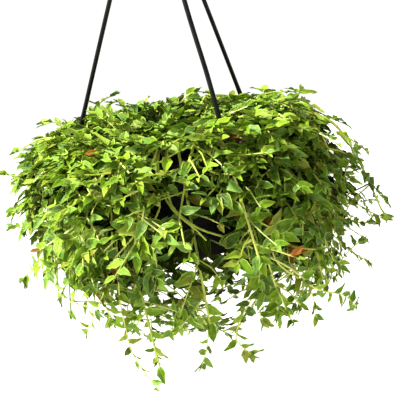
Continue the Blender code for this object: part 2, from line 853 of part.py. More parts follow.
def tip_leaf(growth, tip, point, direction, size, draw, trees, own):
    """The leaf that carries on from the end of a stem or shoot, which its root closes."""
    for attempt in range(LEAF_TRIES):
        along, facing = leaf_directions(point, direction, 1, 5.0 * attempt, draw)
        length = LEAF_LENGTH * size * draw.uniform(0.9, 1.1)
        frame = leaf_frame(along, facing)
        wide = leaf_solid(point, frame, length, TEST_MARGIN)
        outer = leaf_solid(point + along * FREE_NECK, frame, length - FREE_NECK, TEST_MARGIN)
        if below_soil(wide) or not is_clear(wide, trees) or not is_clear(outer, [tree_of(own)]):
            continue
        heights = [(growth.points[index] - point).dot(frame[2]) for index in tip]
        top = heights.index(max(heights))
        before = growth.state()
        growth.add_leaf(tip[top:] + tip[:top], point, frame, length)
        if growth.crosses_itself(before[1]):
            growth.restore(before)
            continue
        own.append(leaf_solid(point, frame, length))
        return
    growth.faces.append(tuple(tip))


def grow_leaves(main, shoots, draw, trees):
    """The whole stem as one mesh with its side shoots and leaves."""
    radii = tapering(len(main), STEM_RADIUS, STEM_TIP_RADIUS)
    growth = Growth(main, radii)
    own = [tube(main, radii, STEM_SIDES)]
    grown = []
    tips = [(growth.tip, main[-1], (main[-1] - main[-2]).normalized(), 0.84)]
    for start, end in shoots:
        added = growth.add_shoot(start, end)
        if added:
            grown.append((added[0], end))
            tips.append((added[1], end, (end - added[0]).normalized(), 0.88))
            own.append(tube([added[0], end], [SHOOT_RADIUS] * 2, STEM_SIDES))
    for tip in tips:
        tip_leaf(growth, *tip, draw, trees, own)
    for place in stem_leaf_places(main, grown):
        try_leaf(growth, place, draw, trees, own)
    return growth


def hole_shape(main):
    """The plain hole in the soil that one stem stands in, three-sided as the stem is."""
    route = [main[0] - CLEARANCE * UP, main[0] + 2.0 * HOLE_DEPTH * UP] + main[2:]
    points, faces = tube(route, [STEM_RADIUS + 2.4 * CLEARANCE] * len(route), STEM_SIDES)
    count = 2 * STEM_SIDES
    kept = [face for face in faces if max(face) < count]
    return points[:count], kept + [tuple(range(STEM_SIDES, count))]


def grow_stem(name, kind, angle, trees):
    """Makes one leafy stem and returns the shape of the hole that it stands in."""
    draw = random.Random(f"{SEED} {name}")
    main, shoots = find_stems(kind, angle, draw, trees)
    growth = grow_leaves(main, shoots, draw, trees)
    shape = (growth.points, growth.faces)
    trees.append(tree_of([shape]))
    shade = draw.uniform(0.8, 1.2)
    green = (0.16 * shade, 0.33 * shade, 0.035)
    make_object(name, shape, make_material(name + "_green", green, 0.45))
    return hole_shape(main)


def vine_list():
    """Every stem's name, kind and direction, the long trailing ones first."""
    stems = []
    for slot, kind in enumerate(OUTER_ORDER):
        stems.append((kind, OUTER_START + OUTER_STEP * slot))
    for slot in range(CROWN_COUNT):
        stems.append(("crown", 20.0 + 360.0 * slot / CROWN_COUNT))
    ranks = {"trail": 0, "skirt": 1, "side": 2, "shoulder": 3, "crown": 4}
    stems.sort(key=lambda stem: ranks[stem[0]])
    counts = dict.fromkeys(KINDS, 0)
    named = []
    for kind, angle in stems:
        counts[kind] += 1
        named.append((f"{kind}_vine_{counts[kind]:02d}", kind, angle))
    return named


def make_vine(solids):
    """Every leafy stem, grown clear of the given objects. Returns the holes for the soil."""
    trees = []
    for thing in solids:
        corners = [vertex.co.copy() for vertex in thing.data.vertices]
        faces = [tuple(polygon.vertices) for polygon in thing.data.polygons]
        trees.append(BVHTree.FromPolygons(corners, faces))
    return [grow_stem(name, kind, angle, trees) for name, kind, angle in vine_list()]


def main():
    clear_scene()
    pot = make_pot()
    arms = [make_arm(name, make_material(f"black_arm_{name}", BLACK, 0.38)) for name in ARM_ANGLES]
    hook = make_hook(make_material("black_hook", BLACK, 0.38))
    make_soil(make_vine([pot, hook] + arms))


main()
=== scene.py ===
import json
import math
import random

import bmesh
import bpy
import numpy as np
from mathutils import Matrix, Vector, noise
from mathutils.bvhtree import BVHTree

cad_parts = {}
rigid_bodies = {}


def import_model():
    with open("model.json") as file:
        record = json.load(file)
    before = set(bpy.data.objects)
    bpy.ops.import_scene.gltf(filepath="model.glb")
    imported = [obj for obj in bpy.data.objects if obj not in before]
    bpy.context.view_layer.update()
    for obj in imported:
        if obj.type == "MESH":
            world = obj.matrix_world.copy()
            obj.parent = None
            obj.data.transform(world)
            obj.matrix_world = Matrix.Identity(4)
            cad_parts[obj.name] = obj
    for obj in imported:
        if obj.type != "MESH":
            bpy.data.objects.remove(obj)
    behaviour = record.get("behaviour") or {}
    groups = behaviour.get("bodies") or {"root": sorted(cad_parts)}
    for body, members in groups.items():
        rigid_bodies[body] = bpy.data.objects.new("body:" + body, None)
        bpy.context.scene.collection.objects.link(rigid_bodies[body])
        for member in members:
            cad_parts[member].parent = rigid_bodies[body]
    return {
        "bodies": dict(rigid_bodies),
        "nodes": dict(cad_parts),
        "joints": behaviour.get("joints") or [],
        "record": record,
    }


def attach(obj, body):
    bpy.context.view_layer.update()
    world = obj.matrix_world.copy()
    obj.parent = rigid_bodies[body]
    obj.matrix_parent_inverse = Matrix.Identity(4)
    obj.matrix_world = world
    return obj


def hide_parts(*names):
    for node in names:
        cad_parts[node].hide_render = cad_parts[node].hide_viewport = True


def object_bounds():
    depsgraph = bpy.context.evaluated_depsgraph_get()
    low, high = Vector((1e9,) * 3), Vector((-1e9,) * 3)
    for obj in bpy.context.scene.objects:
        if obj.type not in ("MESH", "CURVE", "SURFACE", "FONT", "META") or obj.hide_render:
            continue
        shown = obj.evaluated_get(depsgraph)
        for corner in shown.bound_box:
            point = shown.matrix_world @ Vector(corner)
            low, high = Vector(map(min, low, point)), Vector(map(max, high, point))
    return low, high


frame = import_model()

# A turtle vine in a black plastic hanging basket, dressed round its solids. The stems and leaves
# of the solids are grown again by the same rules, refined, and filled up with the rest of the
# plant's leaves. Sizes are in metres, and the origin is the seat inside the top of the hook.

CAD_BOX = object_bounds()
BOX_MARGIN = 0.016
PLANT_BOX = [[side - BOX_MARGIN for side in CAD_BOX[0]], [side + BOX_MARGIN for side in CAD_BOX[1]]]

# Driving dimensions of the basket
RIM_Z = -0.335
RIM_RADIUS = 0.126
POT_HEIGHT = 0.115
POT_TOP_RADIUS = 0.1135
POT_BASE_RADIUS = 0.080
WALL = 0.0020
BASE_THICKNESS = 0.0025
FLANGE_THICKNESS = 0.0025
LIP_DEPTH = 0.0075
DRAIN_COUNT = 6
DRAIN_RADIUS = 0.0045
DRAIN_RING = 0.058
EDGE_ROUND = 0.0012
SOIL_BELOW_RIM = 0.012
SOIL_DOME = 0.003
SOIL_SHOULDER_RADIUS = 0.045
CLEARANCE = 0.0003
# How many clearances the soil keeps from the pot, and the height of its shoulder as a share
SOIL_ROOM = 1.6
SOIL_SHOULDER_SHARE = 0.7

# Driving dimensions of the hanger
ARM_ANGLES = {"left": 169.4, "back": 49.4, "front": -70.6}
ARM_BOWS = {"left": 0.0005, "back": 0.0005, "front": 0.0050}
ARM_SWAYS = {"left": 0.0, "back": 0.0, "front": -0.0040}
ARM_FOOT_RADIUS = 0.1187
ARM_APEX_HEIGHT = 0.291
ARM_HALF_WIDTH = 0.0024
ARM_END_HALF_WIDTH = 0.0032
ARM_FLARE = 0.034
# Where an arm ends in its socket, as a share of the socket's depth, and how its lower end turns
ARM_INSERTION = 0.4
ARM_KNEE_SETBACK = 0.0012
ARM_KNEE_DROP = 0.0005
ARM_SIDES = 8
ARM_SECTIONS = 9
FOOT_HALF_WIDTH = 0.0060
FOOT_HALF_DEPTH = 0.0030
FOOT_THICKNESS = 0.0025
HUB_RADIUS = 0.0145
HUB_HEIGHT = 0.0160
SOCKET_RING = 0.0085
SOCKET_DEPTH = 0.0080
HOOK_INNER_RADIUS = 0.0130
HOOK_ROD_RADIUS = 0.0026
# The hook's root in the hub, its neck above that, and the angles that its loop goes through
HOOK_ROOT_DEPTH = 0.004
HOOK_NECK_RISE = 0.005
HOOK_NECK_SHIFT = 0.0035
HOOK_NECK_SHARE = 1.42
HOOK_DEGREES = range(-48, 205, 21)

# Driving dimensions of the vine
STEM_RADIUS = 0.0017
STEM_TIP_RADIUS = 0.0012
SHOOT_RADIUS = 0.0012
STEM_SIDES = 3
HOLE_DEPTH = 0.022
HOLE_MOUTH = 0.004
SHOOT_PLACES = (0.56, 0.78)
OWN_SHOOT_LENGTHS = (0.026, 0.044)
OWN_SHOOT_DROP = (0.0, 0.30)
LEAF_LENGTH = 0.0212
LEAF_WIDTH_SHARE = 0.53
LEAF_THICKNESS = 0.00072
LEAF_FOLD = 0.34
LEAF_DROOP = 0.14
BLADE_OUTLINE = ((0.30, 1.0), (0.64, 0.74))
NECK_RADIUS = 0.00070
FACET_SHARE = 0.22
ROOT_SHARE = 0.33
LEAN_COST = 0.006
LEAST_AREA = 1e-8
FREE_NECK = 0.0034
LEAST_LEAN = 0.30
LEAST_RISE = 0.0003
MOST_SHIFT = 0.020
TEST_MARGIN = 0.0004
STEM_TRIES = 24
LEAF_TRIES = 10
# Where the solids' leaves sit along a stem and along a side shoot, their angle and their sizes
LEAF_PLACES = (0.40, 0.52, 0.64, 0.76, 0.88)
SHOOT_LEAF_PLACES = ((1, 0.30), (-1, 0.75))
OWN_SPREAD = 56.0
FIRST_SIZE = 1.08
SIZE_STEP = 0.04
SHOOT_LEAF_SIZE = 0.98
STEM_TIP_SIZE = 0.84
SHOOT_TIP_SIZE = 0.88
# A leaf turns further from its usual angle with each try, and its length is left to chance
TURN_CHANCE = (-8.0, 8.0)
TURN_GROWTH = 0.4
TIP_TURN = 5.0
LENGTH_CHANCE = (0.86, 1.12)
TIP_LENGTH_CHANCE = (0.9, 1.1)
LEAF_TILT = (-0.6, 0.6)
LEAF_OUTWARDS = (0.05, 0.35)
# Above this share, a stem runs too straight towards the light for its leaves to lie across it
MOST_PARALLEL = 0.85
SEED = 1907

UP = Vector((0.0, 0.0, 1.0))
BLACK = (0.012, 0.012, 0.013)

# Each kind of stem: how far from the middle it leaves the soil, how high above the rim it passes,
# how far from the middle its tip lies, how high the tip is against the rim, and how much higher it
# lies on the plant's high side, at its right. The plant leans a little to its left, and its hanging
# stems are shorter there and longer at the back. Its longest stem trails at the front left and
# swings towards the middle, and a sprig stands out and hangs at its right.
KINDS = {
    "crown": {"root": 0.030, "over": 0.021, "reach": 0.096, "tip": 0.010, "slope": 0.012},
    "shoulder": {"root": 0.062, "over": 0.014, "reach": 0.155, "tip": -0.026, "slope": 0.009},
    "side": {"root": 0.080, "over": 0.013, "reach": 0.170, "tip": -0.086, "slope": 0.003},
    "skirt": {"root": 0.094, "over": 0.012, "reach": 0.157, "tip": -0.150, "slope": 0.0},
    "trail": {"root": 0.097, "over": 0.012, "reach": 0.138, "tip": -0.188, "slope": 0.0},
}
HIGH_ANGLE = -20.0
LEAN = 0.012
LEFT_LIFT = 0.045
BACK_DROP = 0.022
LONGEST_ANGLE = 240.0
LONGEST_EXTRA = 0.044
LONGEST_TURN = 11.0
SPRIG_ANGLE = -15.0
SPRIG_EXTRA = 0.040
SPRIG_DROP = 0.026
LONGEST_FOCUS = 4
SPRIG_FOCUS = 40
HANGING_KINDS = ("skirt", "trail")
# What chance adds to where a stem starts, passes the rim and ends, in metres, and to its direction
ROOT_CHANCE = (-0.006, 0.006)
OVER_CHANCE = (-0.003, 0.006)
REACH_CHANCE = (-0.010, 0.010)
TIP_CHANCE = (-0.018, 0.018)
DRIFT_CHANCE = (-7.0, 7.0)
ANGLE_CHANCE = (-2.5, 2.5)
# The stems' curves: where their bends lie, and the shares of each curve that get a point
CREST_SHARES = (0.55, 0.45)
CROSSING_SETBACK = 0.002
KNEE_SETBACK = 0.008
KNEE_RISE = 0.004
ELBOW_DROP = 0.006
ELBOW_TURN = 0.3
STEEP_BEND = 0.154
SLANT_BEND = 0.120
SLANT_SHARE = 0.92
TIP_STEP = (0.010, 0.006)
CROWN_POINTS = (0.30, 0.62, 1.0)
RISE_POINTS = (0.45, 1.0)
STEEP_POINTS = (0.14, 0.42, 0.72, 1.0)
SLANT_POINTS = (0.35, 0.68, 1.0)
CROWN_COUNT = 8
OUTER_ORDER = ("shoulder", "side", "skirt", "shoulder", "side", "trail") * 6
OUTER_START = 5.0
OUTER_STEP = 360.0 / len(OUTER_ORDER)

# The finer leaf: how wide it is along its length, and its points across
FULL_LEAF = (
    ((0.0, 0.36), (0.07, 0.72), (0.21, 0.96), (0.42, 0.96), (0.66, 0.65), (0.86, 0.29)),
    (-1.0, -0.5, 0.0, 0.5, 1.0),
)
SMALL_LEAF = (
    ((0.0, 0.42), (0.10, 0.84), (0.32, 1.0), (0.62, 0.70), (0.85, 0.30)),
    (-1.0, 0.0, 1.0),
)
SMALL_LEAF_LENGTH = 0.0185
BLADE_THICKNESS = 0.00038

# The camera that the photograph was taken with, in metres, degrees and pixels
EYE = Vector((0.0001, -0.99593, -0.15982))
AIM = Vector((0.0135, 0.0, -0.37187))
ROLL = 7.50
FOCAL_PIXELS = 942.91
IMAGE_SIDE = 400.0
AIM_PIXEL = (200.0, 165.0)
# How far the plant's mass reaches from its middle in the picture, every 15 degrees from the right
MASS_MIDDLE = (192.0, 205.0)
MASS_STEP = 15.0
MASS_REACH = (
    157, 150, 148, 140, 118, 105, 104, 106, 112, 138, 154, 167,
    151, 145, 152, 145, 147, 136, 132, 142, 136, 138, 150, 154,
)
FAR_OUT = 9.0
# Where the pot shows dark between the leaves: middle and half sizes in the picture
GAPS = ((167, 159, 19, 10), (204, 242, 33, 12), (168, 210, 10, 9))
# Where the white background shows below the pot
LIGHT_GAPS = (
    (187, 266, 11, 8), (212, 281, 14, 11), (148, 276, 6, 4), (171, 293, 12, 6),
    (242, 268, 7, 4), (280, 278, 12, 7), (255, 305, 9, 8), (208, 309, 9, 7),
)
# Where the photograph shows dry leaves
DRY_SPOTS = ((88, 155, 5, 5), (107, 272, 5, 4), (265, 220, 6, 4), (300, 248, 7, 4), (235, 138, 5, 4))
STEM_RING = 0.0085
NODE_SWELLING = 1.32
NODE_HALF_LENGTH = 0.0016

# The dome of leaves: its middle and half sizes, and how round it is for the way that leaves face
DOME_Z = RIM_Z - 0.070
DOME_RADIUS = 0.185
DOME_HEIGHT = 0.115
FACING_RADIUS = 0.200
FACING_HEIGHT = 0.125
FACING_LIFT = 0.35

# How light a leaf is: by chance, with painted shade deep in the dome and painted light at its
# surface, painted shade just below the rim near the pot, and darker low down
TONE_CHANCE = (2.4, 2.7)
DEPTH_START = 0.93
DEPTH_SHADE = 2.9
SMALL_DEPTH = 0.10
SURFACE_START = 0.96
SURFACE_DEPTH = 0.16
SURFACE_LIGHT = 1.3
OVERHANG_BAND = 0.11
OVERHANG_RADIUS = 0.176
OVERHANG_SHADE = 13.0
LOW_BAND = 0.10
LOW_SHADE = 0.9
TINT_CHANCE = (-0.14, 0.14)
STEM_DARKEST = 0.25
STEM_LIGHTENING = 0.65
DRY_SHARE = 0.002

# How a leaf's form may vary: its width, fold and droop against the usual, its twist in radians and
# its bend to one side, with a full turn in radians
WIDTH_CHANCE = (0.80, 1.06)
FOLD_CHANCE = (0.75, 1.35)
DROOP_CHANCE = (0.5, 1.9)
TWIST_CHANCE = (-0.45, 0.45)
BEND_CHANCE = (-0.12, 0.12)
FULL_TURN = 6.3
# How the blade's base reaches back and clasps its stem, how its edges ripple, and how much thicker
# it is at its base than the usual
BASE_SETBACK = 0.05
BASE_SHARE = 0.12
CLASP = 0.55
CLASP_SHARE = 0.16
RIPPLE = 0.24
RIPPLES_ALONG = 11.0
RIPPLES_ACROSS = 1.5
BASE_THICKENING = 1.4
CREASE_ANGLE = 30.0
SMOOTH_ANGLE = 35.0

# How the leaves follow each other along each kind of stem, and how they stand out from it
STEM_SPACING = 0.0138
SHOOT_SPACING = 0.0100
UNDER_SPACING = 0.0110
FRINGE_SPACING = 0.0125
FRONT_SPACING = 0.0105
JOINT_SPACING = 0.017
FIRST_ON_SHOOT = 0.006
LAST_ON_STEM = 0.005
LEAF_SPREAD = 68.0
SPREAD_CHANCE = (-22.0, 26.0)
ROLL_CHANCE = (-0.75, 0.75)
FACING_CHANCE = 0.30
ALONG_CHANCE = 0.22
OUTWARD_CHANCE = (-0.10, 0.50)
UPWARD_CHANCE = (0.0, 0.8)
# Near the crown leaves face more upwards: the height over which that comes in, and how strongly
CROWN_BAND = 0.06
CROWN_START = 0.8
CROWN_UPWARDS = 0.9
CROWN_FLATTENING = 0.4
ROOT_DEPTH = 0.45
# The shares along a leaf that are tested against the gaps, and where the dry leaves lie
GAP_TESTS = (0.2, 0.6, 1.0)
DRY_FRONT = -0.05
SIZE_CHANCE = (0.80, 1.18)
SPACING_CHANCE = (0.8, 1.2)
SPACING_START = 1.12
SPACING_FALL = 0.42
OWN_ROOM = 0.4
# Where the leaves begin: above the soil at the crown, and before the rim's edge elsewhere
CROWN_BARE = 0.012
RIM_SETBACK = 0.020
# How far from its stem's middle line a leaf of the solids is seated at most
LEAF_SEAT = 0.0010
# How far before the end each leaf of a tip's rosette stands, its angle and its share of the size
ROSETTE = ((0.0040, 52, 0.95), (0.0020, 44, 0.78), (0.0, 12, 0.60))
ROSETTE_SIZE = 0.85
# The leaves' size where a stem begins and where it ends, as shares of a full leaf
STEM_LEAVES = (1.42, 0.85)
SHOOT_LEAVES = (1.14, 0.82)
DEEP_LEAVES = (1.15, 0.95)
INNER_LEAVES = (0.80, 0.55)
SPRIG_LEAVES = (1.0, 0.75)
# Leaves further below the rim than this are smaller
LOW_SIZE = 0.80
LOW_SIZE_BAND = 0.105

# The stems' radii at their start and at their tip
OWN_RADII = (STEM_RADIUS, 0.0010)
COMPANION_RADII = (0.0013, 0.0008)
DEEP_RADII = (0.0012, 0.0009)
INNER_RADII = (0.0010, 0.0007)
SPRIG_RADII = (0.0013, 0.0009)
SHOOT_RADII = (0.00090, 0.00060)
SHOOT_TIP_RADIUS = 0.0008
# Where a leaf is tested: share of its length, side and share of its half width
LEAF_TESTS = ((0.3, 1, 1.0), (0.3, -1, 1.0), (0.65, 1, 0.7), (0.65, -1, 0.7), (1.0, 0, 0.0))
# The room that leaves, stems and shoots keep from the pot, the soil and the arms, and how far out
# past the rim the arms are tested
ARM_REACH = 0.02
LEAF_GAP = 0.0008
STEM_GAP = 0.0016
CLOSE_GAP = 0.0014
SHOOT_GAP = 0.0018
# How often each is tried before it is left out
TURN_TRIES = 4
SHOOT_TRIES = 5
SPRIG_TRIES = 10
COMPANION_TRIES = 12

# How many side shoots and other small stems there are, and their lengths
SHOOTS = {"crown": 3, "shoulder": 6, "side": 6, "skirt": 5, "trail": 4}
SHOOT_LENGTHS = (0.018, 0.044)
LONG_SHOOT = 0.03
LONG_SHOOT_SIZE = 0.9
UNDER_SIZE = 0.85
FRINGE_SIZE = 0.80
TIP_SIZE_CHANCE = (0.75, 1.0)
# Where along a stem its shoots, its shoots below the pot and its fringe may leave it
SHOOT_CHANCE = (0.15, 0.85)
LAST_SHOOT = 0.94
UNDER_PLACES = (0.62, 0.97)
FRINGE_PLACES = (0.60, 0.98)
# A shoot's directions against its stem: along it, beside it, outwards and upwards, and the same
# for the bend in its middle
SHOOT_ALONG = 0.50
SHOOT_BESIDE = 0.75
SHOOT_OUTWARDS = (-0.10, 0.55)
SHOOT_BEND_OUTWARDS = (0.0, 0.4)
SHOOT_BEND_UPWARDS = (-0.60, 0.25)
SHOOT_FLATTENING = 0.7
UNDER_TURNS = (-1.2, 1.2)
UNDER_UPWARDS = (-0.35, 0.25)
UNDER_ALONG = 0.3
UNDER_DROOP = (0.1, 0.7)
FRINGE_TURNS = (-0.9, 0.9)
FRINGE_UPWARDS = (-0.25, 0.30)
FRINGE_ALONG = 0.35
FRINGE_DROOP = (-0.10, 0.45)
UNDER_SHOOTS = 5
UNDER_LENGTHS = (0.035, 0.080)
FRINGE_LENGTHS = (0.026, 0.052)
DEEP_STEMS = 3
# The sprigs that close the crown: how many at each crown stem, the ring that they grow in and how
# they crowd to its middle, how far out and how high they go, and how that falls towards the rim
CROWN_SPRIGS = 8
CROWN_SPRIG_RING = 0.104
CROWN_SPRIG_CROWDING = 0.85
CROWN_SPRIG_SHOOTS = 2
CROWN_SPRIG_BARE = 0.014
CROWN_SPRIG_OUT = (-0.012, 0.036)
CROWN_SPRIG_DRIFT = (-40.0, 40.0)
CROWN_SPRIG_TURN = 0.3
CROWN_SPRIG_RISE = (0.002, 0.020)
CROWN_SPRIG_SLOPE = 0.008
CROWN_SPRIG_FALL = 0.08
CROWN_SPRIG_FLAT_RADIUS = 0.06
CROWN_SPRIG_DEPTH = 0.006
CROWN_SPRIG_BEND = (0.006, 0.008)
# What chance adds to a companion's angle, and which of a stem's points lies over the rim
COMPANION_ANGLES = (-4.0, 4.0)
RIM_KNOT = 3
# How far round from a stem its inner stem and its deep stems leave, and the deep stems' chance
INNER_STEP = 0.8 * OUTER_STEP
DEEP_STEP = 0.3 * OUTER_STEP
DEEP_ANGLES = (-2.0, 2.0)
# The further stems beside each kind of stem: their kinds and how far round from it they leave
COMPANIONS = {
    "shoulder": (("shoulder", 3.3), ("side", -3.3)),
    "side": (("side", 3.3), ("skirt", -3.3)),
    "skirt": (("trail", 3.3), ("side", -3.3)),
    "trail": (("skirt", 3.3), ("skirt", -3.3)),
}
# The way of a deep and of an inner stem: radius, height against the rim and share of its turn. A
# deep stem's last two heights are shares of how low it hangs.
DEEP_PLACES = ((0.104, -0.009, 0.0), (0.124, 0.010, 0.0), (0.139, -0.008, 0.2))
DEEP_ENDS = ((0.144, 0.5, 0.6), (0.138, 1.0, 1.0))
DEEP_TURNS = (-25.0, 25.0)
DEEP_LOWEST = (-0.125, -0.070)
DEEP_BARE = 0.25
DEEP_SHOOTS = 4
INNER_TURNS = (-50.0, 50.0)
INNER_LOWEST = (-0.215, -0.165)
INNER_END_RADII = (0.045, 0.095)
INNER_BARE = 0.55
INNER_PLACES = (
    (0.104, -0.009, 0.0), (0.126, 0.012, 0.0), (0.140, -0.020, 0.1), (0.137, -0.085, 0.2),
    (0.118, -0.140, 0.5),
)
# Below this depth under the rim, stems hang free of the pot's side
HANGING_DEPTH = 0.09
# How far out in the plant's mass each may reach, and from where on leaves thin out at its edge. Where
# there are two values, the second is what chance adds.
TRAIL_SHARE = (1.00, 0.35)
COMPANION_SHARE = (0.90, 0.22)
CROWN_SPRIG_SHARE = (0.98, 0.10)
OWN_SHARE = 1.16
DEEP_SHARE = 0.90
INNER_SHARE = 0.98
FRONT_SHARE = 1.40
FRINGE_SHARE = 1.14
FRINGE_LEAF_SHARE = 0.04
LEAF_EXCESS = 0.03
EDGE_START = 0.88
EDGE_THINNING = 2.3
# At the plant's top, above this slope in the picture, the mass ends more sharply
TOP_SLOPE = 0.35
TOP_SHARPNESS = 2.2
# How far the stems at the front swing to their own side of a direction, and what chance adds
FRONT_SWING = (4.0, 26.0)
SWING_CHANCE = (-6.0, 6.0)
SWING_ANGLE = 8.0
# How often a leaf or stem is left out where it would hide what the picture shows
GAP_SHARE = 0.92

# The stems that show in front or stand out: thickness, bare share, size of leaf, and the places
# that they pass as radius in millimetres, angle in degrees and height above the rim in millimetres
FRONT_TABLE = (
    (0.0014, 0.80, 1.0, ((130, 244, 12), (152, 244, 5), (166, 240, -8), (176, 235, -28))),
    (0.0015, 0.78, 1.0, ((152, 252, -28), (164, 251, -45), (170, 246, -58), (176, 239, -76))),
    (0.0014, 0.78, 1.0, ((152, 254, -40), (162, 251, -57), (166, 247, -69), (170, 242, -83))),
    (0.0012, 0.80, 0.9, ((148, 258, -41), (156, 256, -52), (158, 255, -71), (158, 255, -96))),
    (0.0012, 0.58, 1.2, ((140, 259, -28), (150, 263, -45), (156, 270, -64), (158, 273, -75))),
    (0.0013, 0.66, 1.0, ((144, 262, -40), (152, 271, -64), (158, 284, -81), (166, 290, -94),
                         (172, 299, -115), (176, 303, -129))),
    (0.0012, 0.85, 1.0, ((150, 286, -68), (158, 288, -76), (162, 290, -89))),
    (0.0012, 0.92, 1.0, ((122, 284, 12), (136, 281, 4), (142, 279, -9), (146, 278, -33))),
    (0.0011, 0.92, 1.0, ((122, 264, 17), (136, 263, 10), (142, 263, 0), (146, 262, -12))),
    (0.0009, 0.52, 0.8, ((160, 241, -89), (158, 239, -129), (152, 238, -160), (148, 238, -187),
                         (146, 243, -213), (146, 248, -230))),
    (0.0009, 0.62, 0.8, ((145, 236, -20), (150, 243, -80), (130, 260, -136), (110, 269, -176),
                         (105, 267, -204), (105, 263, -221))),
    (0.0010, 0.62, 1.0, ((145, 312, -20), (150, 307, -80), (135, 293, -138), (115, 285, -178),
                         (112, 283, -197), (112, 290, -215))),
    (0.0010, 0.55, 0.8, ((160, 296, -105), (160, 306, -135), (160, 316, -156), (165, 327, -171),
                         (165, 345, -204))),
    (0.0009, 0.58, 0.8, ((150, 305, -118), (150, 313, -148), (150, 316, -169), (150, 316, -187))),
    (0.0009, 0.60, 0.7, ((165, 240, -84), (165, 235, -117), (160, 227, -146), (160, 220, -169))),
    (0.0010, 0.45, 1.0, ((155, 243, -84), (160, 237, -113), (158, 232, -135), (155, 234, -154))),
    (0.0010, 0.45, 1.0, ((150, 249, -93), (150, 244, -119), (148, 239, -141), (146, 240, -160))),
    (0.0009, 0.66, 0.6, ((135, 252, -106), (132, 246, -144), (126, 243, -183), (125, 243, -207))),
    (0.0009, 0.55, 1.0, ((145, 289, -108), (145, 293, -134), (140, 291, -157), (140, 292, -173))),
    (0.0010, 0.60, 0.8, ((126, 194, -4), (151, 191, -12), (173, 190, -18), (194, 189, -12))),
    (0.0010, 0.62, 0.8, ((136, 193, -30), (156, 191, -50), (175, 190, -53), (192, 189, -55))),
    (0.0010, 0.62, 0.8, ((138, 202, -60), (157, 195, -76), (174, 193, -71), (194, 192, -67))),
    (0.0010, 0.62, 0.8, ((138, 202, -80), (154, 199, -102), (174, 197, -110), (194, 195, -121))),
    (0.0011, 0.62, 1.0, ((145, 352, -60), (165, 353, -85), (185, 354, -106), (204, 354, -117))),
    (0.0010, 0.62, 0.8, ((138, 343, -100), (153, 345, -129), (166, 346, -144), (183, 347, -157))),
    (0.0010, 0.62, 0.8, ((138, 343, -80), (155, 349, -106), (169, 350, -114), (190, 351, -119))),
    (0.0009, 0.64, 0.9, ((140, 339, -120), (152, 341, -150), (161, 342, -142), (178, 344, -129))),
    (0.0010, 0.35, 0.9, ((98, 168, 22), (92, 167, 37), (82, 166, 45), (72, 164, 48))),
    (0.0010, 0.50, 0.9, ((120, 180, 14), (128, 180, 26), (136, 180, 31), (146, 180, 29))),
    (0.0010, 0.45, 0.9, ((21, 71, 24), (22, 67, 36), (29, 44, 40), (38, 32, 37))),
    (0.0010, 0.35, 0.9, ((82, 21, 13), (92, 19, 24), (109, 16, 27), (135, 13, 24))),
    (0.0009, 0.45, 0.8, ((64, 152, 26), (69, 154, 35), (72, 155, 39), (79, 158, 39))),
)
FRONT_STEMS = [
    (*form, [(radius / 1000, angle, height / 1000) for radius, angle, height in places])
    for *form, places in FRONT_TABLE
]
# Other leaves keep clear of this many of them, by a few pixels of the picture
FRONT_COUNT = 9
CLEAR_PIXELS = 3.6
# Where they leave the soil, cross the rim and pass its outer edge, and their form
FRONT_ROOT_RADIUS = 0.098
FRONT_ROOT_DEPTH = 0.003
FRONT_CROSSING = 0.115
FRONT_LEAST_RISE = 0.007
FRONT_EDGE_RADIUS = 0.140
FRONT_EDGE_RISE = 0.002
FRONT_LOW = -0.01
FRONT_TAPER = 0.6
FRONT_SIZE_FALL = 0.75
FRONT_SIDES = 7
FRONT_TONE = 0.85
FIRST_JOINT = 2

# The colours of leaves, from the darkest, which painted shade reaches, to the lightest, and of
# their edges, which are partly a painted highlight, and their age
LEAF_STOPS = (
    (0.0, (0.007, 0.020, 0.001)),
    (0.20, (0.044, 0.112, 0.002)),
    (0.50, (0.128, 0.272, 0.004)),
    (0.80, (0.245, 0.405, 0.010)),
    (1.0, (0.370, 0.510, 0.050)),
)
LEAF_EDGE = (0.54, 0.70, 0.10)
LEAF_SILVER = (0.20, 0.40, 0.085)
LEAF_AGED = (0.30, 0.28, 0.04)
LEAF_THROUGH = (0.9, 1.1, 0.20)
DRY_STOPS = ((0.0, (0.10, 0.030, 0.006)), (0.5, (0.28, 0.090, 0.010)), (1.0, (0.36, 0.150, 0.020)))
DRY_EDGE = (0.36, 0.17, 0.03)
DRY_THROUGH = (1.0, 0.7, 0.4)
# The stems' colours, from the darkest, which painted shade deep in the plant reaches, to the lightest
STEM_STOPS = (
    (0.0, (0.012, 0.026, 0.002)), (0.22, (0.16, 0.24, 0.015)), (0.50, (0.42, 0.50, 0.05)),
    (0.90, (0.66, 0.68, 0.15)), (1.0, (0.46, 0.34, 0.10)),
)
SOIL_STOPS = (
    (0.30, (0.010, 0.006, 0.004)), (0.55, (0.040, 0.023, 0.013)), (0.75, (0.085, 0.055, 0.032)),
)
PERLITE_STOPS = ((0.3, (0.40, 0.37, 0.32)), (0.7, (0.72, 0.70, 0.64)))

# How rough and shiny the leaf is, how fine its patches and relief are, and how often its veins repeat
LEAF_ROUGHNESS = 0.42
LEAF_SHINE = 0.32
LEAF_THROUGH_SHARE = 0.12
PATCH_SCALE = 230.0
PATCH_TONE = (0.56, -0.28)
# Painted shade: each leaf is darker at its root and lighter towards its tip
ROOT_SHADE = (0.22, -0.12)
VEIN_WAVES = 22.0
VEIN_RELIEF = 0.5
RELIEF_SCALE = 420.0
RELIEF = (0.0007, 0.50)
GLOSS_SCALE = 260.0
UNDER_PALENESS = 0.40
# Where each effect on the leaf comes in and is full, and its strength at both ends
SILVER_STEP = (0.30, 0.10, 0.0, 0.55)
AGED_STEP = (0.80, 0.96, 0.0, 0.60)
VEIN_STEP = (0.2, 1.0, 0.0, 0.08)
MIDRIB_STEP = (0.09, 0.0, 0.0, 0.16)
